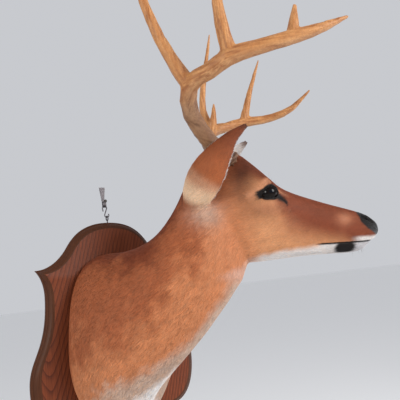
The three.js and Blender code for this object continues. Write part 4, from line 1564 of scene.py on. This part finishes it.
plaquePlan = {
    "half": 182, "top": 240, "bottom": -240, "tip": 162, "tipLevel": 147, "waist": 145,
    "pointsPerCurve": 26,
    # the moulded edge: how far in from the outline and out from the wall, in millimetres
    "edge": ((0.7, 0), (0, 0.7), (0, 6.6), (0.25, 7.2), (0.8, 7.5), (2.0, 7.8), (3.2, 8.5), (4.0, 9.4),
             (4.4, 10.6), (4.7, 12.2), (5.3, 13.2), (6.4, 14.6), (7.8, 16.2), (9.4, 17.7), (11.2, 18.9),
             (13.2, 19.7), (15.0, 20.0)),
    "board": {"light": (0.152, 0.036, 0.013), "dark": (0.050, 0.012, 0.006), "pore": (0.045, 0.012, 0.006)},
    "edgeTone": (0.062, 0.020, 0.008),
    # growth rings: where their arches stand, how far apart, and how steep and round they are
    "rings": {"across": -0.148, "apart": 0.026, "steep": 3.2, "round": 0.012, "wander": 0.016},
}


def plaqueCurve(start, first, second, stop, steps):
    t = np.linspace(0, 1, steps, endpoint=False)[:, None]
    start, first, second, stop = (np.array(p, float) for p in (start, first, second, stop))
    return start * (1 - t) ** 3 + 3 * first * t * (1 - t) ** 2 + 3 * second * t ** 2 * (1 - t) + stop * t ** 3


def plaqueOutline(plan):
    half, top, bottom = plan["half"], plan["top"], plan["bottom"]
    tip, level, waist = plan["tip"], plan["tipLevel"], plan["waist"]
    curves = (
        ((0, top), (52, top), (76, top - 20), (96, top - 51)),
        ((96, top - 51), (114, top - 79), (138, level), (tip, level)),
        ((tip, level), (tip - 11, level - 12), (waist, level - 32), (waist, level - 52)),
        ((waist, level - 52), (waist, -10), (half, -15), (half, -72)),
        ((half, -72), (half, -128), (tip, -160), (136, -168)),
        ((136, -168), (96, -178), (42, -200), (0, bottom)),
    )
    right = np.concatenate([plaqueCurve(*curve, plan["pointsPerCurve"]) for curve in curves])
    left = right[1:][::-1] * (-1, 1)
    return np.concatenate((right, [(0, bottom)], left))


def makePlaque(plan):
    outline = plaqueOutline(plan)
    bm = bmesh.new()
    rows = []
    for depth, out in plan["edge"]:
        drawn = outline * (1 - depth / plan["tip"], 1 - depth / plan["top"])
        rows.append([bm.verts.new((x * mm, -out * mm, z * mm)) for x, z in drawn])
    count = len(outline)
    for row, above in zip(rows[:-1], rows[1:]):
        for i in range(count):
            j = (i + 1) % count
            face = bm.faces.new((row[i], row[j], above[j], above[i]))
            face.material_index = 1
            face.smooth = True
    bm.faces.new(rows[-1])
    bm.faces.new(rows[0][::-1]).material_index = 1
    bmesh.ops.recalc_face_normals(bm, faces=bm.faces)
    mesh = meshOf(bm, "oak_shield")
    mesh.set_sharp_from_angle(angle=math.radians(32))
    mesh.materials.append(oakMaterial("oiled oak board", plan, True))
    mesh.materials.append(oakMaterial("dark moulded edge", plan, False))
    shield = addObject("oak_shield", mesh)
    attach(shield, "root")
    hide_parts("plaque")


def oakMaterial(name, plan, onBoard):
    material, tree, shader = newMaterial(name)
    rings = plan["rings"]
    place = addNode(tree, "TexCoord").outputs["Object"]
    axes = addNode(tree, "SeparateXYZ", {"Vector": place}).outputs
    wander = noiseOf(tree, 1.0, 2, 0.5, stretch(tree, (22, 22, 7)))
    across = mathOf(tree, "SUBTRACT", axes["X"], rings["across"])
    squared = mathOf(tree, "MULTIPLY", across, across)
    arch = mathOf(tree, "SQRT", mathOf(tree, "ADD", squared, rings["round"] ** 2))
    arch = mathOf(tree, "MULTIPLY", mathOf(tree, "SUBTRACT", arch, rings["round"]), rings["steep"])
    level = mathOf(tree, "SUBTRACT", axes["Z"], arch)
    level = mathOf(tree, "ADD", level, rangeOf(tree, wander, 0, 1, -rings["wander"], rings["wander"]))
    growth = mathOf(tree, "FRACT", mathOf(tree, "DIVIDE", level, rings["apart"]))
    late = mathOf(tree, "MULTIPLY", mathOf(tree, "POWER", growth, 3.2),
                  rangeOf(tree, growth, 0.93, 1.0, 1, 0))
    fine = noiseOf(tree, 1.0, 4, 0.6, stretch(tree, (520, 520, 14)))
    pores = noiseOf(tree, 1.0, 2, 0.5, stretch(tree, (1500, 1500, 45)))
    tones = plan["board"]
    colour = mixColour(tree, late, tones["light"], tones["dark"])
    colour = brighten(tree, colour, noiseTo(tree, fine, 0.74, 1.22))
    colour = mixColour(tree, rangeOf(tree, pores, 0.62, 0.72, 0, 0.7), colour, tones["pore"])
    edge = brighten(tree, plan["edgeTone"], noiseTo(tree, fine, 0.75, 1.25))
    feedAll(tree, shader, {
        "Base Color": colour if onBoard else edge,
        "Roughness": noiseTo(tree, fine, 0.42, 0.60),
        "Specular IOR Level": 0.12,
        "Coat Weight": 0.04,
        "Coat Roughness": 0.30,
    })
    height = mathOf(tree, "SUBTRACT", mathOf(tree, "MULTIPLY", fine, 0.4),
                    rangeOf(tree, pores, 0.60, 0.74, 0, 1))
    bumpOf(tree, shader, height, 0.18 * mm, 0.8)
    return material


makePlaque(plaquePlan)
print("plaque is in")


# hanging hardware: steel strip, nail, wire hook and screw eye

hardwarePlan = {
    "steel": {"colour": (0.13, 0.12, 0.13), "rough": (0.45, 0.60), "metal": 0.9},
    "nail": {"colour": (0.055, 0.050, 0.046), "rough": (0.42, 0.65), "metal": 0.9},
    "wireCell": 0.38 * mm,
}


def metalMaterial(name, plan):
    material, tree, shader = newMaterial(name)
    spangle = noiseOf(tree, 420, 3)
    scratches = noiseOf(tree, 1.0, 3, 0.6, stretch(tree, (2600, 2600, 180)))
    dull, bright = (tuple(c * share for c in plan["colour"]) for share in (0.72, 1.2))
    colour = mixColour(tree, spangle, dull, bright)
    feedAll(tree, shader, {
        "Base Color": colour,
        "Roughness": noiseTo(tree, scratches, *plan["rough"]),
        "Metallic": plan["metal"],
    })
    bumpOf(tree, shader, scratches, 0.02 * mm)
    return material


def roundWire(node, finish):
    wire = joinedCopy(f"smooth_{node}", [node], {"rest": 0.03})
    mesh = remeshed(wire, hardwarePlan["wireCell"])
    movePoints(mesh, relax(pointsOf(mesh), edgesOf(mesh), 1.0, 10))
    mesh.materials.append(finish)
    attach(wire, "root")
    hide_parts(node)


steel = metalMaterial("galvanised steel", hardwarePlan["steel"])
blackIron = metalMaterial("blackened nail", hardwarePlan["nail"])
for node, finish in (("hanger_plate", steel), ("hanger_nail", blackIron)):
    nodes[node].data.materials.clear()
    nodes[node].data.materials.append(finish)
for node in ("wire_hook", "screw_eye"):
    roundWire(node, steel)
print("hardware is in")
